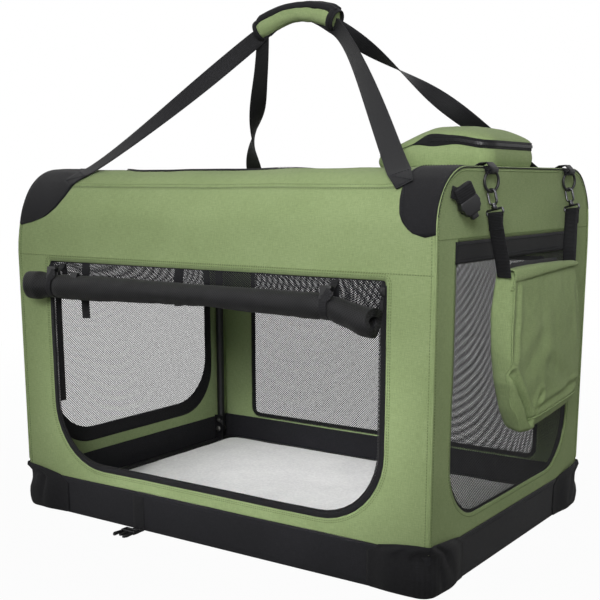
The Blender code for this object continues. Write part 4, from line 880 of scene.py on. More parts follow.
def make_walls():
    """The green cloth of the front, back, ends and roof."""
    front = Window(-WALL_EDGE, WALL_EDGE, WALL_BOTTOM, FRONT_SEAM, 0.0, 0.0)
    for end, window, flip in (("front", DOOR, False), ("back", BACK_WINDOW, True)):

        def place(u, v, flip=flip):
            return on_wrap(u, WRAP_LENGTH - v if flip else v)[0]

        out = Vector((0, 1 if flip else -1, 0))
        rings = cloth_ring(f"{end}_cloth", outline(front), outline(window), 16, place, lambda _: out)
        note(rings, replaces=(f"{end}_panel",))
    for side, sign in SIDES:
        ring = cloth_ring(
            f"{side}_cloth", arch(18), outline(END_WINDOW, corner=18), 12,
            lambda u, v, s=sign: on_end(s, u, v), lambda _, s=sign: Vector((s, 0, 0)),
        )
        note(ring, replaces=(f"{side}_panel",))
    roof = Window(-WALL_EDGE, WALL_EDGE, FRONT_SEAM, WRAP_LENGTH - FRONT_SEAM, 0.0, 0.0)
    middle = WRAP_LENGTH / 2
    hatch = ROOF_WINDOW._replace(bottom=middle + ROOF_WINDOW.bottom, top=middle + ROOF_WINDOW.top)
    ring = cloth_ring(
        "roof_cloth", outline(roof), outline(hatch), 16,
        lambda u, v: on_wrap(u, v, 0.0003)[0], lambda middle_: middle_ - CABIN_MIDDLE,
    )
    note(ring, replaces=("roof_panel",))


def make_openings():
    """Bindings, nets and zips of the doorway and the four windows."""
    def front_place(u, v, lift=0.0):
        return on_wrap(u, v, lift)[0]

    def back_place(u, v, lift=0.0):
        return on_wrap(u, WRAP_LENGTH - v, lift)[0]

    def roof_place(u, v, lift=0.0):
        return on_wrap(u, WRAP_LENGTH / 2 + v, lift)[0]

    def under_header(u, v, lift=0.0):
        return on_wrap(u, v, lift - 0.0045 * ease((v - 0.436) / 0.006))[0]

    overlap = 0.002
    bound = DOOR._replace(top=DOOR.top + DOOR_BINDING + 0.001)
    door_rim = rim(
        "doorway_binding", outline(inset(bound, -overlap)), outline(inset(bound, DOOR_BINDING)), under_header,
        lambda _: Vector((0, -1, 0)),
    )
    note(door_rim, slot="black_cloth", replaces=("front_door_binding",))
    coil_line = outline(inset(bound, DOOR_BINDING + 0.001))
    lines = [[(under_header(u, v, -0.0012), Vector((0, -1, 0))) for u, v in coil_line + coil_line[:1]]]
    note(toothed("doorway_zip_coil", lines), slot="black_plastic")
    # On the hinge side the door's sewn edge stands 13 mm into the cabin
    line = [on_wrap(-0.3205, 0.200 + 0.235 * k / 12, -0.0090)[0] for k in range(13)]
    tape = swept(
        "doorway_inner_tape", framed(line, lambda p: Vector((1, 0, 0))), flat_profile(0.013, 0.0014, middle=3), "tape",
    )
    note(tape, slot="black_cloth", replaces=("front_door_binding",))

    nets = (
        ("back", BACK_WINDOW, BACK_BINDING, back_place, Vector((0, 1, 0))),
        ("roof", ROOF_WINDOW, BINDING, roof_place, Vector((0, 0, 1))),
        ("left", END_WINDOW, None, lambda u, v, lift=0.0: on_end(-1, u, v, lift), Vector((-1, 0, 0))),
        ("right", END_WINDOW, None, lambda u, v, lift=0.0: on_end(1, u, v, lift), Vector((1, 0, 0))),
    )
    for side, window, binding, place, out in nets:
        if binding:
            clear = inset(window, binding)
            edge = rim(
                f"{side}_window_binding", outline(inset(window, -overlap)), outline(clear), place, lambda _, o=out: o,
            )
        else:
            # The ends are bound inside: from outside the cloth is turned under against the net
            clear = window
            border = outline(
                window._replace(
                    left=window.left + 0.004, right=window.right - 0.016,
                    bottom=window.bottom + (END_BORDER if side == "left" else 0.004), top=window.top - END_HEADER,
                )
            )
            edge = rim(
                f"{side}_window_binding", outline(inset(window, -0.004)), border,
                lambda u, v, lift=0.0, p=place: p(u, v, -0.0034 - lift), lambda _, o=out: -o, thickness=0.0010,
            )
        note(edge, slot="black_cloth", replaces=(f"{side}_mesh_window",))
        region = (clear.left - 0.004, clear.right + 0.004, clear.bottom - 0.004, clear.top + 0.004)
        net = netted(
            f"{side}_window_net", region, in_window(clear, 0.004),
            lambda u, v, p=place: p(u, v, -0.0020), lambda _, o=out: o, share=0.64 if side == "left" else 0.57,
        )
        note(net, slot="black_mesh", replaces=(f"{side}_mesh_window",))
    for side, sign in SIDES:
        make_header_band(side, sign)

    track = [inset(ROOF_WINDOW, -margin) for margin in (0.030, 0.023)]
    tape = rim(
        "roof_zip_tape", outline(track[0]), outline(track[1]), lambda u, v, lift=0.0: roof_place(u, v, 0.0010 + lift),
        lambda _: Vector((0, 0, 1)), thickness=0.0010, crown=0.0003,
    )
    note(tape, slot="black_cloth", replaces=("roof_panel",))
    ring = outline(inset(ROOF_WINDOW, -0.0265))
    lines = [[(roof_place(u, v, 0.0020), Vector((0, 0, 1))) for u, v in ring + ring[:1]]]
    note(toothed("roof_zip_coil", lines), slot="black_plastic")


def make_header_band(side, sign):
    """The black band over the top of an end window, with two rows of stitches along its lower edge."""
    left, right, low, high = END_WINDOW.left - 0.004, END_WINDOW.right + 0.004, 0.4640, 0.4945
    columns, steps = 60, 8
    points, flat = [], []
    for row in range(steps + 1):
        for column in range(columns + 1):
            y, z = left + (right - left) * column / columns, low + (high - low) * row / steps
            edge = 0.0004 * math.sin(math.pi * row / steps) + 0.0004 * ripple(y, z, 0.04, 3.0)
            points.append(on_end(sign, y, z, 0.0012 + edge))
            flat.append((y, z))
    faces = grid_faces(steps + 1, columns + 1)
    band = piece(f"{side}_header_band", points, faces, "black_cloth", corner_uvs(flat, faces))
    note(
        thickened(faced(band, lambda _: Vector((sign, 0, 0))), 0.0010), slot="black_cloth", replaces=(f"{side}_panel",),
    )
    place = end_place(sign)
    lines = [line_on(place, spaced((left + 0.003, z), (right - 0.003, z)), 0.0018) for z in (0.4672, 0.4710, 0.4905)]
    note(stitched(f"{side}_header_stitches", lines, "dark_thread"), slot="black_cloth")


def section_path(radius_cut=0.0, steps=14):
    """Points (y, z) up the front edge of an end, over the arch and down the back edge."""
    half, top, radius = HALF_DEPTH - radius_cut, HEIGHT - radius_cut, ROOF_RADIUS - radius_cut
    points = [(-half, WALL_BOTTOM + (SPRING - WALL_BOTTOM) * k / 24) for k in range(24)]
    points += [
        (radius - half - radius * math.cos(QUARTER * k / steps), top - radius + radius * math.sin(QUARTER * k / steps))
        for k in range(steps + 1)
    ]
    flat = half - radius
    points += [(-flat + 2 * flat * k / 20, top) for k in range(1, 20)]
    back = [(-y, z) for y, z in points[:24 + steps + 1]]
    return points + back[::-1]


def make_piping():
    """Piping of the wall cloth between each end and the wrapped cloth, and the dark tape that shows over the arch."""
    for side, sign in SIDES:
        path = [on_end(sign, y, z, -0.0004) for y, z in section_path(0.0008) if z > 0.080]
        stations = framed(path, lambda p: Vector((0, p.y, p.z - 0.3)))
        parts = [swept("cord", stations, circle(0.0016), "green")]
        arch_path = [on_end(sign, y, z, 0.0008) for y, z in section_path(0.0012) if z > 0.52]
        stations = framed(arch_path, lambda p: Vector((0, p.y, p.z - 0.3)))
        parts.append(swept("tape", stations, circle(0.0009), "tape"))
        note(joined(f"{side}_piping", parts))


def make_seams():
    """Rows of stitches on the cloth."""
    wrap = lambda u, v, lift=0.0: on_wrap(u, v, lift)
    front = []
    for run in (0.4525, FRONT_SEAM - 0.003, FRONT_SEAM + 0.004):
        front.append(line_on(wrap, spaced((-0.400, run), (0.400, run)), 0.0004))
    for margin in (-0.0055, -0.0085):
        ring = outline(inset(DOOR, margin))
        front.append(line_on(wrap, ring + ring[:1], 0.0003))
    for x in (-0.3985, 0.3985):
        front.append(line_on(wrap, spaced((x, 0.07), (x, 0.56)), 0.0003))
    note(stitched("front_stitches", front))
    back = []
    for run in (0.4525, FRONT_SEAM - 0.003, FRONT_SEAM + 0.004):
        back.append(line_on(wrap, spaced((-0.400, WRAP_LENGTH - run), (0.400, WRAP_LENGTH - run)), 0.0004))
    ring = outline(inset(BACK_WINDOW, -0.0055))
    back.append(line_on(wrap, [(u, WRAP_LENGTH - v) for u, v in ring + ring[:1]], 0.0003))
    note(stitched("back_stitches", back))
    for side, sign in SIDES:
        place = end_place(sign)
        lines = [line_on(place, spaced((-0.276, 0.499), (0.276, 0.499)), 0.0003)]
        inner = [(y, z) for y, z in section_path(0.006)]
        lines.append(line_on(place, inner, 0.0003))
        ring = outline(inset(END_WINDOW, -0.0055))
        lines.append(line_on(place, ring + ring[:1], 0.0003))
        note(stitched(f"{side}_stitches", lines))
    middle = WRAP_LENGTH / 2
    hatch = ROOF_WINDOW._replace(bottom=middle + ROOF_WINDOW.bottom, top=middle + ROOF_WINDOW.top)
    ring = outline(inset(hatch, -0.0055))
    lines = [line_on(wrap, ring + ring[:1], 0.0006)]
    for x in (-0.3985, 0.3985):
        lines.append(line_on(wrap, spaced((x, 0.58), (x, WRAP_LENGTH - 0.58)), 0.0006))
    note(stitched("roof_stitches", lines))


def make_base():
    """The coated tray of the base: a band with a rolled top edge, and its floor."""
    full = Window(-HALF_LENGTH, HALF_LENGTH, -HALF_DEPTH, HALF_DEPTH, 0.012, 0.012)
    levels = [
        (0.0040, 0.0), (0.0010, 0.0004), (0.0, 0.0022), (-0.0002, 0.012), (0.0002, 0.024), (0.0, 0.036),
        (-0.0003, 0.048),
        (-0.0002, 0.058), (-0.0006, 0.0632), (-0.0002, 0.0656), (0.0012, 0.0662), (0.0026, 0.0654), (0.0028, 0.056),
        (0.0029, 0.036), (0.0029, 0.016), (0.0030, 0.0040), (0.0045, 0.0030),
    ]
    rings = []
    for margin, height in levels:
        ring = []
        corner = 0.0125 - margin / 2
        for u, v in outline(inset(full, margin)._replace(lower=corner, upper=corner), 6, 80, 56):
            sway = (0.0012 + 0.0016 * ripple(u, v, 0.13, 3.3)) * ease(height / 0.03) if margin < 0.002 else 0.0
            out = Vector((u, v, 0)).normalized()
            ring.append(
                Vector(
                    (
                        u + out.x * sway, v + out.y * sway,
                        height + 0.0006 * ripple(u, v, 0.05, 8.1) * ease((height - 0.05) / 0.02),
                    )
                )
            )
        rings.append(ring)
    count = len(rings[0])
    points = [point for ring in rings for point in ring]
    faces = grid_faces(len(rings), count, closed_columns=True)
    uvs = grid_cut(len(faces), count, lengths_along(rings[3]), lengths_along(levels, closed=False))
    for ring_start, step in ((0, -1), ((len(rings) - 1) * count, 1)):
        last = ring_start
        for share in (0.7, 0.35):
            start = len(points)
            points += [
                Vector((points[last + k].x * share, points[last + k].y * share, points[last + k].z))
                for k in range(count)
            ]
            for k in range(count):
                after = (k + 1) % count
                quad = (last + k, last + after, start + after, start + k)
                faces.append(quad if step > 0 else quad[::-1])
            last = start
        centre = len(points)
        points.append(Vector((0, 0, points[last].z)))
        for k in range(count):
            triangle = (last + k, last + (k + 1) % count, centre)
            faces.append(triangle if step > 0 else triangle[::-1])
    uvs += [(points[i].x, points[i].y) for face in faces[len(uvs) // 4:] for i in face]
    tray = piece("base_tray", points, faces, "coated", uvs)
    tray.data.set_sharp_from_angle(angle=math.radians(60))
    note(tray, slot="black_cloth", replaces=("base_cover",), folds=False)

    parts = []
    lines = []
    for x_sign in (-1, 1):
        for y_sign in (-1, 1):
            parts.append(base_patch(x_sign, y_sign, full, lines))
    note(joined("base_corner_patches", parts), slot="black_cloth", replaces=("base_cover",), folds=False)
    for height in (0.0585, 0.0625):
        ring = outline(inset(full, -0.0006), 8, 44, 26)
        lines.append([(Vector((u, v, height)), Vector((u / 2, v, 0)).normalized()) for u, v in ring + ring[:1]])
    note(stitched("base_stitches", lines, "dark_thread"), slot="black_cloth", folds=False)


def base_patch(x_sign, y_sign, full, lines):
    """A padded patch of woven cloth round a base corner, arched over the band: 84 mm of the front, 96 mm of the end."""
    shapes = [
        outline(inset(full, -0.0010)._replace(lower=radius, upper=radius), 8, 200, 140) for radius in (0.005, 0.028)
    ]
    near = [
        k for k, (u, v) in enumerate(shapes[0]) if u * x_sign > HALF_LENGTH - 0.084 and v * y_sign > HALF_DEPTH - 0.096
    ]
    gaps = [k + 1 for k, (a, b) in enumerate(zip(near, near[1:])) if b - a > 1]
    if gaps:
        near = near[gaps[0]:] + near[:gaps[0]]
    ends = [shapes[0][k] for k in near]
    runs = lengths_along(ends, closed=False)
    corner = runs[max(range(len(ends)), key=lambda k: ends[k][0] * x_sign + ends[k][1] * y_sign)]
    # The rows of the patch: height, roundness of the corner, how far it stands out, share of the arch
    rows = (
        (0.0014, 0.7, 0.0030, 0), (0.0032, 0.9, 0.0068, 0), (0.0080, 1, 0.0098, 0), (0.0160, 1, 0.0112, 0),
        (0.0240, 1, 0.0118, 0),
        (0.0320, 1, 0.0118, 0.1), (0.0400, 1, 0.0112, 0.2), (0.0480, 1, 0.0102, 0.4), (0.0550, 1, 0.0090, 0.6),
        (0.0590, 0.66, 0.0090, 0.8), (0.0625, 0.22, 0.0078, 0.95), (0.0660, 0.08, 0.0050, 1), (0.0678, 0.0, 0.0036, 1),
    )
    # Its creases: two ends as (along, height), and the depth of each
    folds = (
        (-0.014, 0.062, -0.040, 0.022, 0.0052), (0.004, 0.058, -0.012, 0.016, 0.0058),
        (0.030, 0.056, 0.022, 0.020, 0.0040),
    )
    points, flat = [], []
    for index, run in zip(near, runs):
        sharp, soft = (Vector((*shape[index], 0)) for shape in shapes)
        tip = min(run / corner, (runs[-1] - run) / (runs[-1] - corner))
        swell = ease(tip * 1.6)
        normal = (sharp - Vector((x_sign * (HALF_LENGTH - 0.05), y_sign * (HALF_DEPTH - 0.05), 0)))
        normal = Vector((x_sign * ease(normal.x * x_sign / 0.05), y_sign * ease(normal.y * y_sign / 0.05), 0))
        normal = normal.normalized() if normal.length > 0.001 else Vector((0, y_sign, 0))
        for height, round_share, out, share in rows:
            spot = sharp.lerp(soft, round_share)
            along = (run - corner) * x_sign * y_sign
            crease = 0.0
            for x0, z0, x1, z1, deep in folds:
                t = min(
                    1.0,
                    max(
                        0.0, ((along - x0) * (x1 - x0) + (height - z0) * (z1 - z0)) / ((x1 - x0) ** 2 + (z1 - z0) ** 2),
                    ),
                )
                away = math.hypot(along - x0 - (x1 - x0) * t, height - z0 - (z1 - z0) * t)
                crease += deep * math.exp(-((away / 0.0048) ** 2)) * (1 - 0.5 * t)
            lump = 0.0008 * ripple(along, height, 0.024, 5.0 + x_sign) * swell
            spot += normal * (max(0.0, out * swell - crease) + lump + 0.0004)
            points.append(Vector((spot.x, spot.y, height + 0.0115 * share * math.sin(math.pi * tip / 2))))
            flat.append((run, height))
    faces = grid_faces(len(near), len(rows))
    obj = piece(f"base_patch_{x_sign}_{y_sign}", points, faces, "black_cloth", corner_uvs(flat, faces))
    faced(obj, lambda middle: Vector((middle.x, middle.y, 0)))
    for index in (3, -4):
        u, v = ends[index]
        normal = Vector((0, y_sign, 0)) if abs(abs(v) - HALF_DEPTH) < 0.002 else Vector((x_sign, 0, 0))
        lines.append([(Vector((u, v, 0.006 + 0.058 * k / 6)) + normal * 0.0012, normal) for k in range(7)])
    return thickened(obj, 0.0010, 0.0)


def make_frame():
    """Smooth tubes in place of the faceted hoops, and finishes for the metal that stays."""
    for name in ("base_frame",) + tuple(f"{s}_{e}_pivot_plate" for s, _ in SIDES for e, _ in ENDS):
        repaint(name, "powder")
    for side, _ in SIDES:
        for end, _ in ENDS:
            repaint(f"{side}_{end}_pivot_rivet", "nickel")
            repaint(f"{side}_{end}_snap_button", "nickel")
    repaint("base_board", "board")
    for side, sign, leg_y, foot in (("left", -1, 0.2485, 0.0325), ("right", 1, 0.2705, 0.0565)):
        top, radius = 0.5835, 0.070
        path = [Vector((sign * HOOP_X, -leg_y, foot + (top - radius - foot) * k / 10)) for k in range(10)]
        for turn in range(17):
            angle = QUARTER * turn / 16
            path.append(Vector((
                sign * HOOP_X, radius - leg_y - radius * math.cos(angle), top - radius + radius * math.sin(angle)
            )))
        half = path[:]
        path += [Vector((p.x, -p.y, p.z)) for p in half[::-1]]
        stations = framed(path, lambda p, s=sign: Vector((s, 0, 0)))
        tube = swept(f"{side}_hoop_tube", stations, circle(0.0080, 20), "powder")
        note(tube, f"{side}_hoop", "black_paint", (f"{side}_hoop",), folds=False)


def repaint(name, finish):
    """Gives a CAD node its finish."""
    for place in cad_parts[name].material_slots:
        place.material = FINISHES[finish]


def make_patches():
    """Corner patches on the roof: a leaf on the left, a tongue with a round foot on the right."""
    leaf = (
        (0.0, 0.004), (0.006, 0.036), (0.016, 0.070), (0.030, 0.094), (0.048, 0.110), (0.068, 0.118), (0.090, 0.119),
        (0.115, 0.112), (0.140, 0.092), (0.160, 0.060), (0.168, 0.036),
    )
    tongue = (
        (0.0, 0.016), (0.003, 0.031), (0.006, 0.037), (0.012, 0.045), (0.02, 0.052), (0.03, 0.057), (0.05, 0.061),
        (0.075, 0.064), (0.100, 0.067), (0.125, 0.064), (0.150, 0.050), (0.165, 0.026),
    )
    lines = []
    for side, sign in SIDES:
        shape = leaf if sign < 0 else tongue
        for end, flip in (("front", False), ("back", True)):
            steps, across = 34, 14
            points, flat = [], []
            edge = []
            for step in range(steps + 1):
                walked = 0.168 * step / steps
                width = curve_value(shape, walked)
                for column in range(across + 1):
                    share = column / across
                    x = sign * (0.4048 - width * share)
                    run = SPRING - 0.004 + walked - 0.004 * share * (1 - step / steps)
                    rise = 0.0012 + 0.0004 * math.sin(math.pi * share) + 0.0003 * ripple(x, run, 0.03, 6.0)
                    spot = on_wrap(x, WRAP_LENGTH - run if flip else run, rise)
                    points.append(spot[0])
                    flat.append((x, run))
                inner_x = sign * (0.4048 - width + 0.0045)
                if step > 1:
                    edge.append(on_wrap(inner_x, WRAP_LENGTH - run if flip else run, 0.0019))
            lines.append(edge)
            faces = grid_faces(steps + 1, across + 1)
            obj = piece(f"{side}_{end}_roof_patch", points, faces, "black_cloth", corner_uvs(flat, faces))
            faced(obj, lambda middle: middle - CABIN_MIDDLE)
            thickened(obj, 0.0011)
            note(obj, slot="black_cloth", replaces=(f"{side}_{end}_corner_patch",))
    note(stitched("patch_stitches", lines, "dark_thread"), slot="black_cloth")


def curve_value(stops, at):
    """The value at a place on a line through (place, value) stops."""
    for (a, low), (b, high) in zip(stops, stops[1:]):
        if at <= b:
            return low + (high - low) * max(0.0, (at - a) / (b - a))
    return stops[-1][1]


def strap_stations(end_sign):
    """Stations of one carry strap from its left foot over the handle to its right foot."""
    grip_y, grip_z = -0.0009, 0.832
    lift = 0.0003 + 0.0010 + 0.0008 + 0.0006

    def half(x, grip, toward):
        start_run = BEND + SPRING - 0.070
        start, normal = wrap_point(x, start_run, lift)
        rising = grip - start
        lean = rising - normal * rising.dot(normal)
        along_x = lean.x / lean.length
        along_run = math.sqrt(1 - along_x * along_x)
        made = []
        for step in range(9):
            walked = 0.035 * step / 8
            point, normal = wrap_point(x + along_x * walked, start_run + along_run * walked, lift + 0.0006)
            tangent = normal.cross(Vector((1, 0, 0)))
            heading = (Vector((along_x, 0, 0)) + tangent * along_run).normalized()
            side = heading.cross(normal)
            side *= 1 + 0.36 * walked / 0.035
            made.append((point, side if side.z > 0 else -side, heading))
        start, start_side, heading = made[-1]
        length = (grip - start).length
        leave = start + heading * (length * 0.15)
        if end_sign > 0:
            leave += Vector((-toward * 0.016, 0, 0.012))
        if end_sign > 0 and toward > 0:
            arrive = grip - Vector((0, 0, length * 0.25))
        else:
            arrive = grip - Vector((toward * length * 0.10, 0, length * 0.05))
        for step in range(1, 49):
            t = step / 48
            back = 1 - t
            point = start * back**3 + leave * (3 * back * back * t) + arrive * (3 * back * t * t) + grip * t**3
            slope = (leave - start) * (back * back) + (arrive - leave) * (2 * back * t) + (grip - arrive) * (t * t)
            heading = slope.normalized()
            aim = Vector((-1, 0, 0.2)) if end_sign > 0 and toward > 0 else Vector((0, 0, 1))
            side = start_side.normalized().lerp(aim, t * t * (3 - 2 * t))
            side = (side - heading * side.dot(heading)).normalized() * (1.36 - 0.30 * t)
            if end_sign > 0:
                # The back web turns over once on its way up
                side = Matrix.Rotation(
                    toward * math.pi * ease((t - (0.06 if toward > 0 else 0.24)) / 0.74), 3, heading,
                ) @ side
            made.append((point, side, heading))
        return made

    left = half(-0.300, Vector((-0.086, grip_y, grip_z - 0.010)), 1)
    right = half(0.345, Vector((0.058, grip_y, grip_z - 0.006)), -1)
    middle = []
    for step in range(1, 12):
        share = step / 12
        point = left[-1][0].lerp(right[-1][0], share) + Vector((0, 0, 0.023 * math.sin(math.pi * share)))
        heading = Vector((0.144, 0, 0.004 + 0.023 * math.pi * math.cos(math.pi * share))).normalized()
        narrow = 1.06 - 0.46 * math.sin(math.pi * share)
        middle.append((point, Vector((-heading.z, 0, heading.x)) * (narrow if end_sign < 0 else -narrow), heading))
    whole = left + middle + [(point, side, -heading) for point, side, heading in reversed(right)]
    stations = []
    for point, side, heading in whole:
        rise = heading.cross(side).normalized()
        if end_sign > 0:
            point, side, rise = (Vector((v.x, -v.y, v.z)) for v in (point, side, rise))
        stations.append((point, side, rise))
    return stations


def make_straps():
    """The two carry straps, each one web, and the box of stitches at each foot."""
    lines = []
    for end, sign in ENDS:
        stations = strap_stations(sign)
        web = swept(f"{end}_strap", stations, flat_profile(STRAP_WIDTH, WEB, middle=6), "webbing")
        note(web, slot="black_cloth", replaces=(f"{end}_carry_strap",))
        for foot in (stations[:9], stations[-9:][::-1]):
            low, high = foot[1], foot[7]
            out = low[2] if low[2].z > 0 else -low[2]
            box = []
            for a, station in ((-0.0095, low), (0.0095, low), (0.0095, high), (-0.0095, high), (-0.0095, low)):
                box.append((station[0] + station[1] * a + out * 0.0010, out))
            lines.append(box)
            lines.append([box[0], box[2]])
            lines.append([box[1], box[3]])
    note(stitched("strap_stitches", lines, "dark_thread"), slot="black_cloth")


HANDLE_LEFT, HANDLE_LENGTH = -0.092, 0.157


def handle_section(share):
    """Middle, up direction and half height of the handle wrap, from its left end at 0 to its right at 1."""
    middle = Vector(
        (HANDLE_LEFT + HANDLE_LENGTH * share, 0, 0.8275 + 0.006 * share + 0.0185 * math.sin(math.pi * share))
    )
    lean = -0.40 * math.cos(math.pi * share)
    half = 0.0122 + 0.0030 * abs(math.cos(math.pi * share)) ** 1.5
    return middle, Vector((math.sin(lean), 0, math.cos(lean))), half


def make_handle():
    """The padded wrap over both straps: an arch of cloth, filled by simulation, with its bound edges along the top."""
    across, count = 40, 36
    rings = []
    for step in range(across + 1):
        share = step / across
        middle, up, half = handle_section(share)
        wide = 0.0150 * (0.82 + 0.18 * math.sin(math.pi * share) ** 0.5)
        ring = []
        for k in range(count):
            angle = math.tau * k / count
            side, rise = math.cos(angle), math.sin(angle)
            fold = 1 + 0.09 * ripple(middle.x, angle * 0.012, 0.016, 5.0) + 0.05 * ripple(
                middle.x * 2, angle * 0.006, 0.014, 2.0,
            )
            ring.append(middle + up * (half * 0.95 * rise * fold) + Vector((0, wide * side * fold, 0)))
        rings.append(ring)
    wrap = swept_rings("handle_wrap_pad", rings, "green")

    def project(point, near):
        share = (point.x - HANDLE_LEFT) / HANDLE_LENGTH
        angle = math.atan2(point.z - handle_section(share)[0].z, point.y)
        around = math.atan2(near.z - handle_section((near.x - HANDLE_LEFT) / HANDLE_LENGTH)[0].z, near.y)
        return point.x, 0.018 * (around + (angle - around + math.pi) % math.tau - math.pi)

    note(swollen(wrap, 0.004, 3.0, 0.003, project), slot="green_cloth", replaces=("handle_wrap",))

    parts = []
    for name, spread, lift, first, last in (
        ("near", -0.0072, -0.0006, 0.02, 0.99), ("far", 0.0050, 0.0016, 0.04, 0.98),
    ):
        stations = []
        for step in range(41):
            share = first + (last - first) * step / 40
            middle, up, half = handle_section(share)
            droop = 0.0060 * ease((0.10 - share) / 0.10) + 0.0030 * ease((share - 0.9) / 0.1)
            wave = 0.0008 * ripple(share, spread * 40, 0.09, 4.0)
            centre = middle + up * (half + lift - droop + wave) + Vector((0, spread + wave, 0))
            stations.append((centre, Vector((0, 1, 0)), up))
        # Each edge is bound with doubled tape, 7 mm wide and 9 mm high as it stands up
        profile = [(a * 0.0046, b * 0.0066) for a, b in circle(1.0, 12)]
        parts.append(swept(name, stations, profile, "tape"))
    for share, swell in ((0.012, 1.08), (0.965, 1.10), (0.995, 1.02)):
        middle, up, half = handle_section(share)
        path = []
        for k in range(28):
            angle = math.tau * k / 28
            path.append(
                middle + up * (half * swell * math.sin(angle)) + Vector((0, 0.0150 * swell * math.cos(angle), 0))
            )
        stations = framed(path, lambda p, m=middle: p - m, closed=True)
        parts.append(
            swept("end", stations, [(a * 0.0042, b * 0.0020) for a, b in circle(1.0, 10)], "tape", closed=True)
        )
    note(joined("handle_wrap_binding", parts), slot="black_cloth", replaces=("handle_wrap",))


def roll_centre(x):
    """Centre (y, z) and radius of the rolled door at x: thick on the left, hanging at its free right end."""
    droop = -0.016 * ease((x - 0.235) / 0.085) ** 1.3
    radius = 0.0188 + 0.0012 * ripple(x, 0, 0.07, 2.0) + 0.0020 * ease(-x / 0.3)
    radius += 0.0030 * ease((-0.310 - x) / 0.012)
    for tie in (-0.292, 0.250):
        radius -= 0.0028 * math.exp(-(((x - tie) / 0.011) ** 2))
    radius += 0.0026 * ease((x - 0.28) / 0.03)
    return -(0.2868 + radius), 0.4055 + 0.0015 * math.cos(x * 9) + droop, radius


def make_door():
    """The mesh door, wound up under the header and held by two ties with toggles."""
    turns, steps, stretch = 5, 30, 150
    left, right = -0.346, 0.326
    pitch = 0.0024
    points, flat = [], []
    run = 0.0
    for index in range(turns * steps + 1):
        angle = -math.tau * index / steps + 0.9
        inner = pitch * index / steps
        if index:
            run += (0.0190 - inner) * math.tau / steps
        for column in range(stretch + 1):
            x = left + (right - left) * column / stretch
            centre_y, centre_z, radius = roll_centre(x)
            r = radius - inner
            # Folds run along the roll, and pull in towards the ties
            outer = max(0.0, 1 - index / (1.4 * steps))
            r += outer * 0.0016 * ripple(x * 0.22, angle * 0.016, 0.011, 3.0)
            r += outer * 0.0010 * ripple(x + angle * 0.006, angle * 0.01, 0.016, 8.0)
            r += 0.0004 * ripple(x, index * 0.002, 0.02, index // steps)
            skew = 0.0030 * math.sin(index * 0.42 + (0 if x < 0 else 2)) * ease((abs(x) - 0.26) / 0.06)
            flatten = 1 - 0.06 * math.cos(x * 14)
            points.append(Vector((x + skew, centre_y + r * math.cos(angle), centre_z + r * flatten * math.sin(angle))))
            flat.append((x, run))
    faces = grid_faces(turns * steps + 1, stretch + 1)
    roll = piece("wound_door", points, faces, "wound", corner_uvs(flat, faces))
    thickened(roll, 0.0008, 0.0)
    note(roll, "door_roll", "black_mesh", ("rolled_mesh_door",))

    def tail_place(u, v):
        _, centre_z, radius = roll_centre(u)
        share = (0.4470 - v) / 0.055
        low = centre_z + radius * 0.55
        y = -0.2816 - 0.0058 * ease(share * 1.2) - 0.0012 * math.sin(math.pi * share) * (1 + ripple(u, v, 0.05, 3.0))
        return Vector((u, y, 0.4470 - (0.4470 - low) * share))

    def inside_tail(u, v):
        return -0.331 < u < 0.326 and 0.392 < v < 0.447

    tail = netted(
        "door_tail_net", (-0.331, 0.326, 0.392, 0.447), inside_tail, tail_place, lambda _: Vector((0, -1, 0)),
        share=0.46,
    )
    note(tail, "door_roll", "black_mesh", ("rolled_mesh_door",))

    for name, x in (("left", -0.292), ("right", 0.250)):
        centre_y, centre_z, radius = roll_centre(x)
        reach = radius + 0.0016
        path = []
        for step in range(33):
            angle = math.radians(112) + math.radians(248) * step / 32
            path.append(Vector((x, centre_y + reach * math.cos(angle), centre_z + reach * math.sin(angle))))
        path = [Vector((x, -0.2885, 0.4405)), Vector((x, -0.292, 0.434))] + path + [
            Vector((x, -0.2862, 0.430)), Vector((x, -0.2862, 0.4405)),
        ]
        stations = framed(path, lambda p, y=centre_y, z=centre_z: Vector((0, p.y - y, p.z - z)))
        band = swept(f"{name}_tie_band", stations, flat_profile(0.012, 0.0012, middle=3), "webbing")
        top = Vector((x, centre_y - reach * 0.42, centre_z + reach * 0.86 + 0.0045))
        parts = [band, toggle_piece(f"{name}_toggle", top)]
        if x < 0:
            parts.append(toggle_piece("second_toggle", top + Vector((0.052, 0.001, -0.005)), 0.8))
        tail_path = [
            top + Vector((0.008 * math.sin(k * 0.5), -0.004 - 0.0006 * k, 0.003 - 0.0016 * k)) for k in range(8)
        ]
        tail_stations = framed(tail_path, lambda p: Vector((0, -1, 0.3)))
        parts.append(swept("tail", tail_stations, flat_profile(0.012, 0.0012, middle=3), "webbing"))
        note(joined(f"{name}_tie_with_toggle", parts), "door_roll", "black_cloth", (f"{name}_door_tie",))

    for name, x, length in (("left", -0.250, 0.120), ("middle", -0.045, 0.086)):
        path = [
            Vector((x + 0.0012 * math.sin(k * 0.7), -0.2795 + 0.0016 * math.sin(k * 0.5), 0.470 - length * k / 10))
            for k in range(11)
        ]
        stations = framed(path, lambda p: Vector((0, 1, 0)))
        tab = swept(f"{name}_tab_web", stations, flat_profile(0.018, WEB, middle=3), "webbing")
        note(tab, slot="black_cloth", replaces=(f"{name}_inner_tab",))


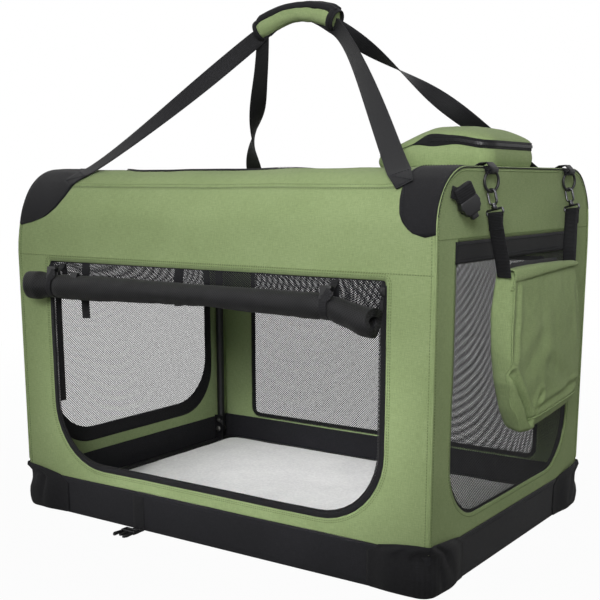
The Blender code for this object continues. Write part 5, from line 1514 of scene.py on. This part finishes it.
def toggle_piece(name, centre, scale=1.0):
    """A moulded cord toggle, standing on the roll: a waisted block with a lip at each end."""
    shape = [
        (-0.0095, -0.0105), (0.0095, -0.0105), (0.0095, -0.0060), (0.0068, -0.0030), (0.0068, 0.0030), (0.0095, 0.0060),
        (0.0095, 0.0105), (-0.0095, 0.0105), (-0.0095, 0.0060), (-0.0068, 0.0030), (-0.0068, -0.0030),
        (-0.0095, -0.0060),
    ]
    shape = [(u * scale, v * scale) for u, v in shape]
    return moulded(
        name, shape, 0.0095 * scale, 0.0016 * scale, "plastic",
        Matrix.Translation(centre) @ Matrix.Rotation(math.radians(78), 4, "X"),
    )


def make_door_zip():
    """The parked slider with its bridge, and the pull that hangs from it."""
    x = 0.3252
    body = block("slider_body", (x, -0.2864, 0.428), (0.0080, 0.0022, 0.0110), 0.0009, "plastic")
    roof = block("slider_roof", (x, -0.2882, 0.4285), (0.0068, 0.0011, 0.0100), 0.0005, "plastic")
    path = [Vector((x, -0.2885 - 0.0012 * math.sin(math.pi * k / 8), 0.4325 - 0.008 * k / 8)) for k in range(9)]
    bridge = swept("bridge", framed(path, lambda p: Vector((0, -1, 0))), flat_profile(0.0022, 0.0008), "plastic")
    note(joined("zip_slider", [body, roof, bridge]), "zip_slider", "black_plastic", ("door_zip_slider",))
    ring = pull_ring("zip_pull", Vector((x, -0.2876, 0.4205)), 0.0052, 0.021)
    note(ring, "zip_pull", "black_plastic", ("door_zip_pull",))


def pull_ring(name, top, width, length):
    """A zip pull: a flat bar with a hole at its top and a rounded end."""
    outer = outline(Window(-width / 2, width / 2, -length, 0, width / 2.1, width / 2.6), 5, 2, 8)
    hole = outline(Window(-width / 4, width / 4, -0.005, -0.0014, width / 4.5, width / 4.5), 5, 2, 8)
    flat, faces = between(outer, hole, 2)
    obj = piece(
        name, [Vector((top.x + u, top.y, top.z + v)) for u, v in flat], faces, "plastic", corner_uvs(flat, faces),
        smooth=False,
    )
    faced(obj, lambda _: Vector((0, -1, 0)))
    return thickened(obj, 0.0012, 0.0)


def moulded(name, shape, thickness, radius, finish, matrix=Matrix()):
    """A moulded piece: an outline in its own X and Y, with a thickness and rounded edges, put in place by a matrix."""
    bm = bmesh.new()
    count = len(shape)
    made = [bm.verts.new((u, v, z)) for z in (-thickness / 2, thickness / 2) for u, v in shape]
    bm.faces.new(made[:count][::-1])
    bm.faces.new(made[count:])
    for k in range(count):
        after = (k + 1) % count
        bm.faces.new((made[k], made[after], made[count + after], made[count + k]))
    bmesh.ops.bevel(bm, geom=bm.edges[:], offset=radius, segments=3, profile=0.6, affect="EDGES")
    bmesh.ops.recalc_face_normals(bm, faces=bm.faces)
    bmesh.ops.transform(bm, matrix=matrix, verts=bm.verts)
    points = [v.co.copy() for v in bm.verts]
    bm.verts.index_update()
    faces = [tuple(v.index for v in face.verts) for face in bm.faces]
    bm.free()
    obj = piece(name, points, faces, finish, [(points[i].x + points[i].y, points[i].z) for face in faces for i in face])
    obj.data.set_sharp_from_angle(angle=math.radians(50))
    return obj


def block(name, centre, size, radius, finish):
    """A small moulded block with rounded edges."""
    half, other = size[0] / 2, size[1] / 2
    shape = [(-half, -other), (half, -other), (half, other), (-half, other)]
    return moulded(name, shape, size[2], radius, finish, Matrix.Translation(centre))


# The side bag's sag as measured: height, then (x, y) of its back left, front left, front right and back right edges
BAG_LEVELS = (
    (0.448, (0.4086, -0.106), (0.4350, -0.104), (0.4440, 0.122), (0.4086, 0.127)),
    (0.420, (0.4086, -0.116), (0.4390, -0.107), (0.4490, 0.126), (0.4086, 0.132)),
    (0.388, (0.4086, -0.125), (0.4405, -0.113), (0.4530, 0.129), (0.4086, 0.135)),
    (0.330, (0.4086, -0.118), (0.4435, -0.120), (0.4560, 0.134), (0.4086, 0.136)),
    (0.285, (0.4086, -0.104), (0.4445, -0.117), (0.4565, 0.135), (0.4086, 0.135)),
    (0.250, (0.4086, -0.082), (0.4435, -0.094), (0.4560, 0.132), (0.4086, 0.129)),
    (0.222, (0.4090, -0.056), (0.4400, -0.068), (0.4520, 0.124), (0.4090, 0.118)),
)
# Creases across the bag's face: two ends as (y, z), and the width and depth of each
BAG_CREASES = (
    ((-0.112, 0.300), (-0.048, 0.218), 0.0048, 0.0085), ((-0.018, 0.258), (-0.044, 0.218), 0.0042, 0.0080),
    ((-0.092, 0.425), (-0.108, 0.322), 0.0050, 0.0032), ((-0.080, 0.262), (-0.052, 0.226), 0.0040, 0.0040),
    ((0.010, 0.300), (0.090, 0.262), 0.0120, 0.0022), ((-0.030, 0.234), (0.125, 0.256), 0.0045, 0.0050),
    ((0.116, 0.410), (0.124, 0.330), 0.0060, 0.0010), ((-0.020, 0.340), (-0.070, 0.300), 0.0140, 0.0020),
)


BAG_TOP, BAG_HEIGHT = 0.448, 0.226


def bag_corners(z):
    """The bag's four edges at a height."""
    for high, low in zip(BAG_LEVELS, BAG_LEVELS[1:]):
        if z >= low[0] or low is BAG_LEVELS[-1]:
            share = (high[0] - z) / (high[0] - low[0])
            return [Vector(p).lerp(Vector(q), share) for p, q in zip(high[1:], low[1:])]


def creased(y, z):
    """How far the bag's face is drawn in at a point by its creases, with a soft ridge beside each."""
    depth = 0.0
    for (y0, z0), (y1, z1), width, deep in BAG_CREASES:
        along = Vector((y1 - y0, z1 - z0))
        share = min(1, max(0, Vector((y - y0, z - z0)).dot(along) / along.length_squared))
        away = math.hypot(y - y0 - along.x * share, z - z0 - along.y * share)
        depth += deep * (math.exp(-((away / width) ** 2)) - 0.55 * math.exp(-(((away - width * 2) / width) ** 2)))
    return depth


def make_bag():
    """The side bag: a soft shell that sags to a corner, its welts and flap, and its straps, hooks and rings."""
    rings = []
    levels = 44
    for level in range(levels + 1):
        share = level / levels
        z = BAG_TOP - BAG_HEIGHT * share
        corners = bag_corners(z)
        ring = []
        for (start, end), steps, bulge in zip(
            zip(corners, corners[1:] + corners[:1]), (12, 56, 12, 30), (0.0025, 0.0050, 0.0035, 0.0),
        ):
            out = Vector((end - start).orthogonal().normalized())
            out = out if out.dot((start + end) / 2 - Vector((0.425, 0.01))) > 0 else -out
            for step in range(steps):
                t = step / steps
                ring.append(start.lerp(end, t) + out * (bulge * math.sin(math.pi * t) * (0.5 + share * 0.7)))
        for _ in range(3):
            ring = [(ring[k - 1] + ring[k] * 2 + ring[(k + 1) % len(ring)]) / 4 for k in range(len(ring))]
        made = []
        for u, v in ring:
            # The bottom edge climbs from the bag's low corner to its right
            fall = 0.0 if v < -0.05 else 0.020 * (v + 0.05) / 0.18
            height = z - 0.012 * ease((share - 0.7) / 0.3) + fall * ease((share - 0.6) / 0.4)
            front = ease((u - 0.420) / 0.014)
            inward = front * (
                creased(v, height) - 0.0011 * ripple(v, height, 0.030, 4.0) - 0.0006 * ripple(v, height, 0.012, 6.0)
            )
            made.append(Vector((u - inward, v, height)))
        rings.append(made)
    last = rings[-1]
    middle = sum(last, Vector()) / len(last)
    for share, drop in ((0.80, 0.0050), (0.50, 0.0085), (0.18, 0.0100)):
        rings.append(
            [
                Vector(
                    (
                        middle.x + (p.x - middle.x) * share, middle.y + (p.y - middle.y) * (0.75 + 0.25 * share),
                        p.z - drop,
                    )
                )
                for p in last
            ]
        )
    shell = swept_rings("bag_shell", rings, "green")
    note(smoothed(shell), "bag", "green_cloth", ("side_bag",))

    def at(level, y):
        ring = [p for p in rings[level] if p.x > 0.425]
        return min(ring, key=lambda p: abs(p.y - y))

    # Corded edges: down the front left edge to the low corner, and along the bottom
    edge = [
        at(level, bag_corners(BAG_TOP - BAG_HEIGHT * level / levels)[1].y + 0.002) + Vector((0.0012, -0.0008, 0))
        for level in range(1, levels + 1, 2)
    ]
    foot = [at(levels - 2, -0.052 + 0.172 * k / 20) + Vector((0.0012, 0, 0.0)) for k in range(21)]
    parts = []
    for path in (edge, foot):
        path = [(path[max(k - 1, 0)] + path[k] * 2 + path[min(k + 1, len(path) - 1)]) / 4 for k in range(len(path))]
        parts.append(swept("cord", framed(path, lambda p: Vector((1, -0.3, 0))), circle(0.0014, 8), "green"))
    parts.append(
        block("knot", at(4, -0.106) + Vector((0.0020, -0.0006, -0.004)), (0.0050, 0.0080, 0.0060), 0.0014, "green")
    )
    note(joined("bag_welts", parts), "bag", "green_cloth", ("side_bag",))

    flat, points = [], []
    columns = 40
    for column in range(columns + 1):
        t = column / columns
        y = -0.105 + 0.228 * t
        front = bag_corners(0.440)[1].lerp(bag_corners(0.440)[2], t).x + 0.0035 * math.sin(math.pi * t)
        drop = 0.018 * (1 - 0.72 * t) + 0.0010 * ripple(y, 0, 0.03, 2.0)
        crest = 0.4495 + 0.0022 * math.sin(math.pi * t) + 0.0010 * ripple(y, 0, 0.04, 7.0)
        for row, (x, z) in enumerate((
            (0.4118, crest - 0.0042), (0.4160, crest - 0.0024), (front - 0.010, crest - 0.0006), (front - 0.004, crest),
            (front + 0.0004, crest - 0.0016), (front + 0.0022, crest - drop * 0.4),
            (front + 0.0030, crest - drop * 0.75), (front + 0.0012, crest - drop),
        )):
            points.append(Vector((x + 0.0006 * ripple(y, z, 0.02, 1.0), y, z)))
            flat.append((y, row * 0.006))
    faces = grid_faces(columns + 1, 8)
    flap = piece("bag_flap_cloth", points, faces, "green", corner_uvs(flat, faces))
    faced(flap, lambda m: Vector((0.3, 0, 1)))
    thickened(flap, 0.0018, 1.0)
    note(smoothed(flap), "bag_flap", "green_cloth", ("side_bag_flap",))
    mouth = [
        Vector(
            (
                0.4110, -0.104 + 0.232 * k / 20,
                0.4500 + 0.0016 * math.sin(math.pi * k / 20) + 0.0008 * ripple(k * 0.01, 0, 0.05, 2.0),
            )
        )
        for k in range(21)
    ]
    tape = swept(
        "bag_mouth_tape", framed(mouth, lambda p: Vector((1, 0, 0.35))), flat_profile(0.0085, 0.0014, middle=3), "tape",
    )
    note(tape, "bag", "black_cloth", ("side_bag",))

    for (end, _), ring_y, low in zip(
        ENDS, (-0.140, 0.160), (Vector((0.4260, -0.1130, 0.4390)), Vector((0.4290, 0.1360, 0.4420))),
    ):
        make_ring_and_loop(end, ring_y)
        make_hook(end, ring_y)
        make_bag_strap(end, ring_y, low)


def make_ring_and_loop(end, ring_y):
    """An oval plastic ring in a folded web that comes over the roof's edge."""
    centre = Vector((0.4130, ring_y, 0.5750))
    path = [
        centre + Vector((0.0052, 0.0118, 0)) * math.sin(math.tau * k / 36) + Vector(
            (0, 0, 0.0145 * math.cos(math.tau * k / 36))
        )
        for k in range(36)
    ]
    stations = framed(path, lambda p: Vector((0.92, -0.4, 0)), closed=True)
    ring = swept(f"{end}_ring", stations, circle(0.0021, 12), "plastic", closed=True)
    note(ring, slot="black_plastic", replaces=(f"bag_{end}_ring",))
    path = [Vector((0.3920, ring_y, 0.5960)), Vector((0.3990, ring_y, 0.5996)), Vector((0.4090, ring_y, 0.6004))]
    for step in range(13):
        angle = math.radians(70) - math.radians(250) * step / 12
        path.append(Vector((0.4130 + 0.0046 * math.cos(angle), ring_y, 0.5900 + 0.0050 * math.sin(angle))))
    path += [Vector((0.4070, ring_y, 0.5930)), Vector((0.4050, ring_y, 0.5950)), Vector((0.3980, ring_y, 0.5958))]
    stations = framed(path, lambda p: Vector((p.x - 0.4100, 0, p.z - 0.5930)))
    loop = swept(f"{end}_ring_web", stations, flat_profile(0.0240, 0.0018, middle=3), "webbing")
    note(loop, slot="black_cloth", replaces=(f"bag_{end}_web_loop",))


def make_hook(end, ring_y):
    """A swivel hook that hangs out from the wall: a bent eye with its gate, a turned barrel, and the strap's slot."""
    path = []
    for middle, start in ((-0.0022, 0.0), (-0.0130, math.pi)):
        for k in range(13):
            angle = start + math.pi * k / 12
            path.append(Vector((0.0056 * math.cos(angle), 0, middle + 0.0056 * math.sin(angle))))
    stations = framed(path, lambda p: Vector((0, 1, 0)), closed=True)
    eye = swept("eye", stations, circle(0.0017, 12), "dark_nickel", closed=True)
    gate = block("gate", (0.0057, 0, -0.0080), (0.0028, 0.0044, 0.0110), 0.0008, "dark_nickel")
    profile = (
        (0.0012, 0.0030), (0.0038, 0.0026), (0.0042, 0.0008), (0.0034, 0.0002), (0.0034, -0.0012), (0.0042, -0.0018),
        (0.0042, -0.0050), (0.0030, -0.0062),
    )
    stations = [(Vector((0, 0, -0.0190 + z)), Vector((r, 0, 0)), Vector((0, r, 0))) for r, z in profile]
    barrel = swept("barrel", stations, circle(1.0, 18), "dark_nickel")
    slot = outline(Window(-0.0122, 0.0122, -0.0322, -0.0250, 0.0022, 0.0022), 5, 4, 2)
    stations = framed([Vector((u, 0, v)) for u, v in slot], lambda p: Vector((0, 1, 0)), closed=True)
    made = joined(
        f"{end}_swivel_hook",
        [eye, gate, barrel, swept("slot", stations, circle(0.0017, 10), "dark_nickel", closed=True)],
    )
    made.data.transform(Matrix.Translation((0.4130, ring_y, 0.5605)) @ Matrix.Rotation(-0.25, 4, "Y"))
    note(made, "bag", "gunmetal", (f"bag_{end}_hook",))


def make_bag_strap(end, ring_y, low):
    """A strap folded over the hook's slot and sewn into the bag's top edge, its face to the front."""
    bar = Vector((0.4209, ring_y, 0.5293))
    wide, reach = Vector((1, 0, 0.10)).normalized(), 0.0028
    stations = [(bar + Vector((0, reach, -0.022 + 0.011 * k)), wide, Vector((0, 1, 0))) for k in range(2)]
    for step in range(13):
        angle = math.pi * step / 12
        out = Vector((0, math.cos(angle), math.sin(angle)))
        stations.append((bar + out * reach, wide, out))
    top = bar - Vector((0, reach, 0))
    for step in range(1, 25):
        share = step / 24
        point = top.lerp(low, ease(share) * 0.35 + share * 0.65)
        point.z = top.z + (low.z - top.z) * share
        turn = 0.16 * math.sin(math.pi * share) + 0.10 * ripple(ring_y, share * 0.1, 0.05, 3.0)
        stations.append(
            (
                point, Vector((math.cos(turn), math.sin(turn), 0.10 * (1 - share))).normalized(),
                Vector((math.sin(turn), -math.cos(turn), 0)),
            )
        )
    web = swept(f"{end}_bag_web", stations, flat_profile(0.0215, 0.0014, middle=4), "webbing")
    note(web, "bag", "black_cloth", (f"bag_{end}_strap",))


POUCH_MIDDLE = 0.2925


def pouch_zip_z(x):
    """Height of the pouch's zip round its edge: low at the left, where the lid has sunk."""
    return 0.6140 + 0.0215 * ease((x - 0.195) / 0.100) - 0.0075 * ease((x - 0.325) / 0.06)


def pouch_gap(x):
    """Half of the gap that the zip fills; the cloth closes over the zip at the left."""
    return 0.0034 * ease((x - 0.256) / 0.034)


def make_pouch():
    """The pouch on the roof: a soft box, its domed lid and the zip between them."""
    window = Window(0.192, 0.385, -0.090, 0.090, 0.026, 0.030)
    edge = outline(window, 8, 30, 30)
    rings = []
    for share in (0, 0.08, 0.2, 0.35, 0.5, 0.65, 0.8, 0.92, 1.0):
        swell = 0.0035 * math.sin(math.pi * share) - 0.002
        ring = []
        for u, v in outline(inset(window, -swell), 8, 30, 30):
            pleat = 0.0022 * ripple(u * 1.6, v * 1.6, 0.022, 2.0) * math.sin(math.pi * share) + 0.0008 * ripple(
                u, v + share, 0.012, 6.0,
            )
            ring.append(
                Vector(
                    (u * (1 + pleat), v * (1 + pleat * 6), 0.5955 + (pouch_zip_z(u) - pouch_gap(u) - 0.5955) * share)
                )
            )
        rings.append(ring)
    note(smoothed(swept_rings("pouch_body", rings, "green")), slot="green_cloth", replaces=("roof_pouch",))
    rings = []
    for size in (0.985, 1.0, 0.985, 0.95, 0.88, 0.78, 0.64, 0.48, 0.30, 0.10):
        ring = []
        for u, v in edge:
            x, y = POUCH_MIDDLE + (u - POUCH_MIDDLE) * size, v * size
            low = pouch_zip_z(u) + pouch_gap(u) - 0.0004
            peak = 0.6270 + 0.0300 * ease((x - 0.185) / 0.10) - 0.0050 * ease((x - 0.34) / 0.045)
            rise = math.sqrt(max(0.0, 1 - size * size)) if rings else -0.12
            fold = 0.0014 * ripple(x, y, 0.030, 5.0) + 0.0008 * ripple(x * 2, y, 0.016, 2.0)
            ring.append(Vector((x, y, low + (peak - low) * min(1, rise * 1.08) + fold * max(0, rise))))
        rings.append(ring)
    note(smoothed(swept_rings("pouch_lid_cloth", rings, "green")), "pouch_lid", "green_cloth", ("roof_pouch_lid",))
    line = [Vector((u, v, pouch_zip_z(u) - 0.0006)) for u, v in outline(inset(window, 0.0006), 8, 30, 30)]
    stations = []
    for point, side, rise in framed(line, lambda p: Vector((p.x - POUCH_MIDDLE, p.y * 1.2, 0)), closed=True):
        bare = 0.06 + 0.94 * ease((point.x - 0.256) / 0.034) + (
            0.5 * math.exp(-(((point.x - 0.296) / 0.022) ** 2)) if point.y < 0 else 0
        )
        stations.append((point, side * bare, rise))
    tape = swept("pouch_zip_tape", stations, flat_profile(0.0125, 0.0016, middle=3), "tape", closed=True)
    note(tape, slot="black_cloth", replaces=("roof_pouch_tab",))
    coil = [
        (Vector((u, v, pouch_zip_z(u) - 0.0004)), Vector((u - POUCH_MIDDLE, v, 0)).normalized())
        for u, v in outline(inset(window, -0.0008), 8, 30, 30) if u > 0.285
    ]
    turn = max(range(len(coil)), key=lambda k: (coil[k][0] - coil[k - 1][0]).length)
    note(toothed("pouch_zip_coil", [coil[turn:] + coil[:turn]]), slot="black_plastic")


def swept_rings(name, rings, finish):
    """A closed skin over rings of equal counts, capped at both ends."""
    count = len(rings[0])
    faces = grid_faces(len(rings), count, closed_columns=True)
    faces += [tuple(range(count))[::-1], tuple(range((len(rings) - 1) * count, len(rings) * count))]
    rises = lengths_along([ring[0] for ring in rings], closed=False)
    uvs = grid_cut((len(rings) - 1) * count, count, lengths_along(rings[0]), rises)
    points = [p for ring in rings for p in ring]
    for face in faces[(len(rings) - 1) * count:]:
        uvs += [(points[i].x, points[i].y) for i in face]
    obj = piece(name, points, faces, finish, uvs)
    middle = sum(points, Vector()) / len(points)
    return faced(obj, lambda m: m - middle)


def make_buckles():
    """The side-release half on the right end, and the closing strap with its half under the front."""
    web_path = [
        Vector((0.4068 + 0.0072 * (k / 10) ** 1.2, -0.250 + 0.020 * k / 10, 0.5612 - 0.006 * k / 10)) for k in range(11)
    ]
    web = swept(
        "buckle_web", framed(web_path, lambda p: Vector((1, 0, 0))), flat_profile(0.017, 0.0014, middle=4), "webbing",
    )
    note(web, "buckle", "black_cloth", ("side_buckle_web",))
    # The half hangs out from the wall, its lower end swung to the right
    turn = Matrix.Rotation(math.radians(62), 4, "Z") @ Matrix.Rotation(QUARTER, 4, "X") @ Matrix.Rotation(
        math.radians(30), 4, "Z",
    )
    half = [
        moulded(
            "sleeve", [(-0.0125, 0.0030), (0.0125, 0.0030), (0.0125, 0.0200), (-0.0125, 0.0200)], 0.0080, 0.0028,
            "webbing",
        ),
        moulded(
            "body",
            [
                (-0.0120, 0.0040), (-0.0140, -0.0040), (-0.0095, -0.0085), (-0.0085, -0.0150), (0.0085, -0.0150),
                (0.0095, -0.0085), (0.0140, -0.0040), (0.0120, 0.0040),
            ],
            0.0085, 0.0018, "plastic",
        ),
        moulded(
            "prong", [(-0.0045, -0.0130), (-0.0045, -0.0205), (0.0045, -0.0205), (0.0045, -0.0130)], 0.0060, 0.0014,
            "plastic",
        ),
    ]
    made = joined("release_buckle", half)
    made.data.transform(Matrix.Translation((0.4190, -0.2250, 0.5480)) @ turn @ Matrix.Scale(1.22, 4))
    note(made, "buckle", "black_plastic", ("side_buckle",))
    path = [Vector((-0.140, -0.2860, 0.060 - 0.0585 * k / 8)) for k in range(9)]
    path += [Vector((-0.140, -0.2868, 0.0012)), Vector((-0.140, -0.2900, 0.0010)), Vector((-0.140, -0.2995, 0.0010))]
    strap = swept(
        "closing_web", framed(path, lambda p: Vector((0, -1, 0.6))), flat_profile(0.025, 0.0012, middle=4), "webbing",
    )
    note(strap, slot="black_cloth", replaces=("closing_strap",), folds=False)
    made = buckle_half("closing_buckle")
    made.data.transform(Matrix.Translation((-0.140, -0.3000, 0.0040)))
    note(made, slot="black_plastic", replaces=("closing_buckle_plug",), folds=False)


def buckle_half(name):
    """The plug of a side-release buckle: a web bar, two sprung arms and a guide between them, along -Y."""
    parts = [block("bar", (0, -0.0020, 0), (0.0290, 0.0040, 0.0062), 0.0012, "plastic")]
    parts.append(block("yoke", (0, -0.0125, 0), (0.0290, 0.0040, 0.0062), 0.0012, "plastic"))
    for side in (-1, 1):
        parts.append(block("cheek", (side * 0.0130, -0.0072, 0), (0.0030, 0.0100, 0.0062), 0.0010, "plastic"))
        shape = [
            (0.0095, -0.0140), (0.0100, -0.0290), (0.0078, -0.0330), (0.0090, -0.0362), (0.0128, -0.0350),
            (0.0152, -0.0300), (0.0134, -0.0140),
        ]
        parts.append(
            moulded("arm", [(side * u, v) for u, v in (shape if side > 0 else shape[::-1])], 0.0044, 0.0010, "plastic")
        )
    parts.append(
        moulded(
            "guide", [(-0.0030, -0.0140), (-0.0024, -0.0320), (0.0024, -0.0320), (0.0030, -0.0140)], 0.0034, 0.0009,
            "plastic",
        )
    )
    return joined(name, parts)


def make_mat():
    """The fleece mat, swollen by simulation, with a bound edge."""
    low, high = 0.0090, 0.0240
    window = Window(-0.368, 0.368, -0.259, 0.259, 0.028, 0.028)
    rings = []
    for share, tuck in ((0.0, 0.004), (0.12, 0.0008), (0.35, 0.0), (0.65, 0.0), (0.88, 0.002), (1.0, 0.006)):
        rings.append([Vector((u, v, low + (high - low) * share)) for u, v in outline(inset(window, tuck), 8, 60, 44)])
    last = rings[-1]
    for share in (0.97, 0.9, 0.8, 0.65, 0.5, 0.35, 0.2, 0.08):
        rise = 0.0018 * math.sin(QUARTER * (1 - share))
        rings.append(
            [
                Vector((p.x * share, p.y * share, high + rise + 0.0012 * ripple(p.x * share, p.y * share, 0.09, 6.0)))
                for p in last
            ]
        )
    mat = swept_rings("fleece_mat", rings, "fleece")
    note(swollen(mat, 0.006, 4.0, 0.004, lambda p, _: (p.x, p.y)), slot="fleece", replaces=("floor_mat",), folds=False)


def declare_sheet(name, held, *pieces):
    """Works out the flat area, width and length that a sheet's cut map holds, one face of its two; it keeps none of
    them.
    """
    obj = bpy.data.objects[name]
    cut = [corner.uv for corner in obj.data.uv_layers["cut"].data]
    area = 0.0
    for face in obj.data.polygons:
        corners = [cut[index] for index in face.loop_indices]
        area += abs(sum(p.cross(q) for p, q in zip(corners, corners[1:] + corners[:1]))) / 4
    width, length = (max(values) - min(values) for values in zip(*cut))


# The stage

def make_stage():
    """A pale floor that takes the object's shadow, a white surround and soft lamps."""
    world = bpy.data.worlds.new("surround")
    bpy.context.scene.world = world
    world.use_nodes = True
    tree = world.node_tree
    tree.nodes.clear()
    path = add(tree, "ShaderNodeLightPath")
    seen = add(
        tree, "ShaderNodeMath", {"operation": "MAXIMUM"},
        {0: path.outputs["Is Camera Ray"], 1: path.outputs["Is Glossy Ray"]},
    )
    seen = add(
        tree, "ShaderNodeMath", {"operation": "MAXIMUM"}, {0: seen.outputs[0], 1: path.outputs["Is Transmission Ray"]},
    )
    light = add(tree, "ShaderNodeBackground", {"Color": (1, 0.99, 0.86, 1), "Strength": 0.26})
    white = add(tree, "ShaderNodeBackground", {"Color": (1, 1, 1, 1), "Strength": 1.0})
    mix = add(tree, "ShaderNodeMixShader", links={0: seen.outputs[0], 1: light.outputs[0], 2: white.outputs[0]})
    add(tree, "ShaderNodeOutputWorld", links={"Surface": mix.outputs[0]})

    made, tree, shader = new_finish("pale_stage_floor", Roughness=0.9)
    shader.inputs["Base Color"].default_value = linear("#b4b4b3")
    where = add(tree, "ShaderNodeTexCoord").outputs["Object"]
    away = add(tree, "ShaderNodeVectorMath", {"operation": "LENGTH"}, {0: where}).outputs["Value"]
    paler = add(
        tree, "ShaderNodeMapRange", {"From Min": 0.5, "From Max": 2.2, "To Min": 0.965, "To Max": 1.0}, {"Value": away},
    )
    path = add(tree, "ShaderNodeLightPath")
    share = add(
        tree, "ShaderNodeMath", {"operation": "MULTIPLY"}, {0: paler.outputs[0], 1: path.outputs["Is Camera Ray"]},
    )
    white = add(tree, "ShaderNodeEmission", {"Color": (1, 1, 1, 1), "Strength": 1.0})
    both = add(tree, "ShaderNodeMixShader", links={0: share.outputs[0], 1: shader.outputs[0], 2: white.outputs[0]})
    tree.links.new(both.outputs[0], tree.nodes["Material Output"].inputs["Surface"])
    floor = piece(
        "stage_floor", [Vector((x, y, -0.0004)) for x, y in ((-9, -9), (9, -9), (9, 9), (-9, 9))], [(0, 1, 2, 3)],
        "green", [(0, 0)] * 4,
    )
    floor.data.materials.clear()
    floor.data.materials.append(made)

    for name, place, aim, size, power, spread in (
        ("key", (1.05, -2.00, 1.35), Vector((0.22, -0.28, 0.74)), (1.0, 1.0), 4.3, 46),
        ("fill", (-1.9, -1.2, 1.8), CABIN_MIDDLE, (2.0, 2.0), 5, 180),
        ("doorway_light", (0.10, -1.75, 0.98), Vector((0.0, 0.02, 0.05)), (0.60, 0.18), 0.52, 13),
    ):
        lamp = bpy.data.lights.new(name, "AREA")
        lamp.shape = "RECTANGLE"
        lamp.size, lamp.size_y = size
        lamp.spread = math.radians(spread)
        lamp.energy = power
        obj = bpy.data.objects.new(name, lamp)
        obj.location = place
        obj.rotation_euler = (aim - Vector(place)).to_track_quat("-Z", "Y").to_euler()
        bpy.context.scene.collection.objects.link(obj)


def make_camera():
    """The photograph's viewpoint: above the left of the right front corner, level-framed by a shift."""
    data = bpy.data.cameras.new("camera")
    data.lens = 63.1
    data.sensor_width = 36
    data.shift_y = 0.1667
    obj = bpy.data.objects.new("camera", data)
    obj.location = (1.042, -1.526, 0.573)
    obj.rotation_euler = (math.radians(90 - 11.68), 0, math.radians(34.52))
    bpy.context.scene.collection.objects.link(obj)
    bpy.context.scene.camera = obj
    bpy.context.scene.view_settings.view_transform = "Standard"


make_camera()
make_stage()
make_base()
make_mat()
make_frame()
make_walls()
make_openings()
make_piping()
make_seams()
make_patches()
make_straps()
make_handle()
make_door()
make_door_zip()
make_bag()
make_pouch()
make_buckles()

for obj, body, slot, nodes, folds in made_pieces.values():
    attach(obj, body)
    if nodes:
        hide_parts(*nodes)
    if folds:
        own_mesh(obj)

for name in (
    "front_cloth", "back_cloth", "left_cloth", "right_cloth", "roof_cloth", "left_header_band", "right_header_band",
):
    declare_sheet(name, "stretched")
declare_sheet("wound_door", "folded", "door_tail_net")
declare_sheet("bag_flap_cloth", "folded")
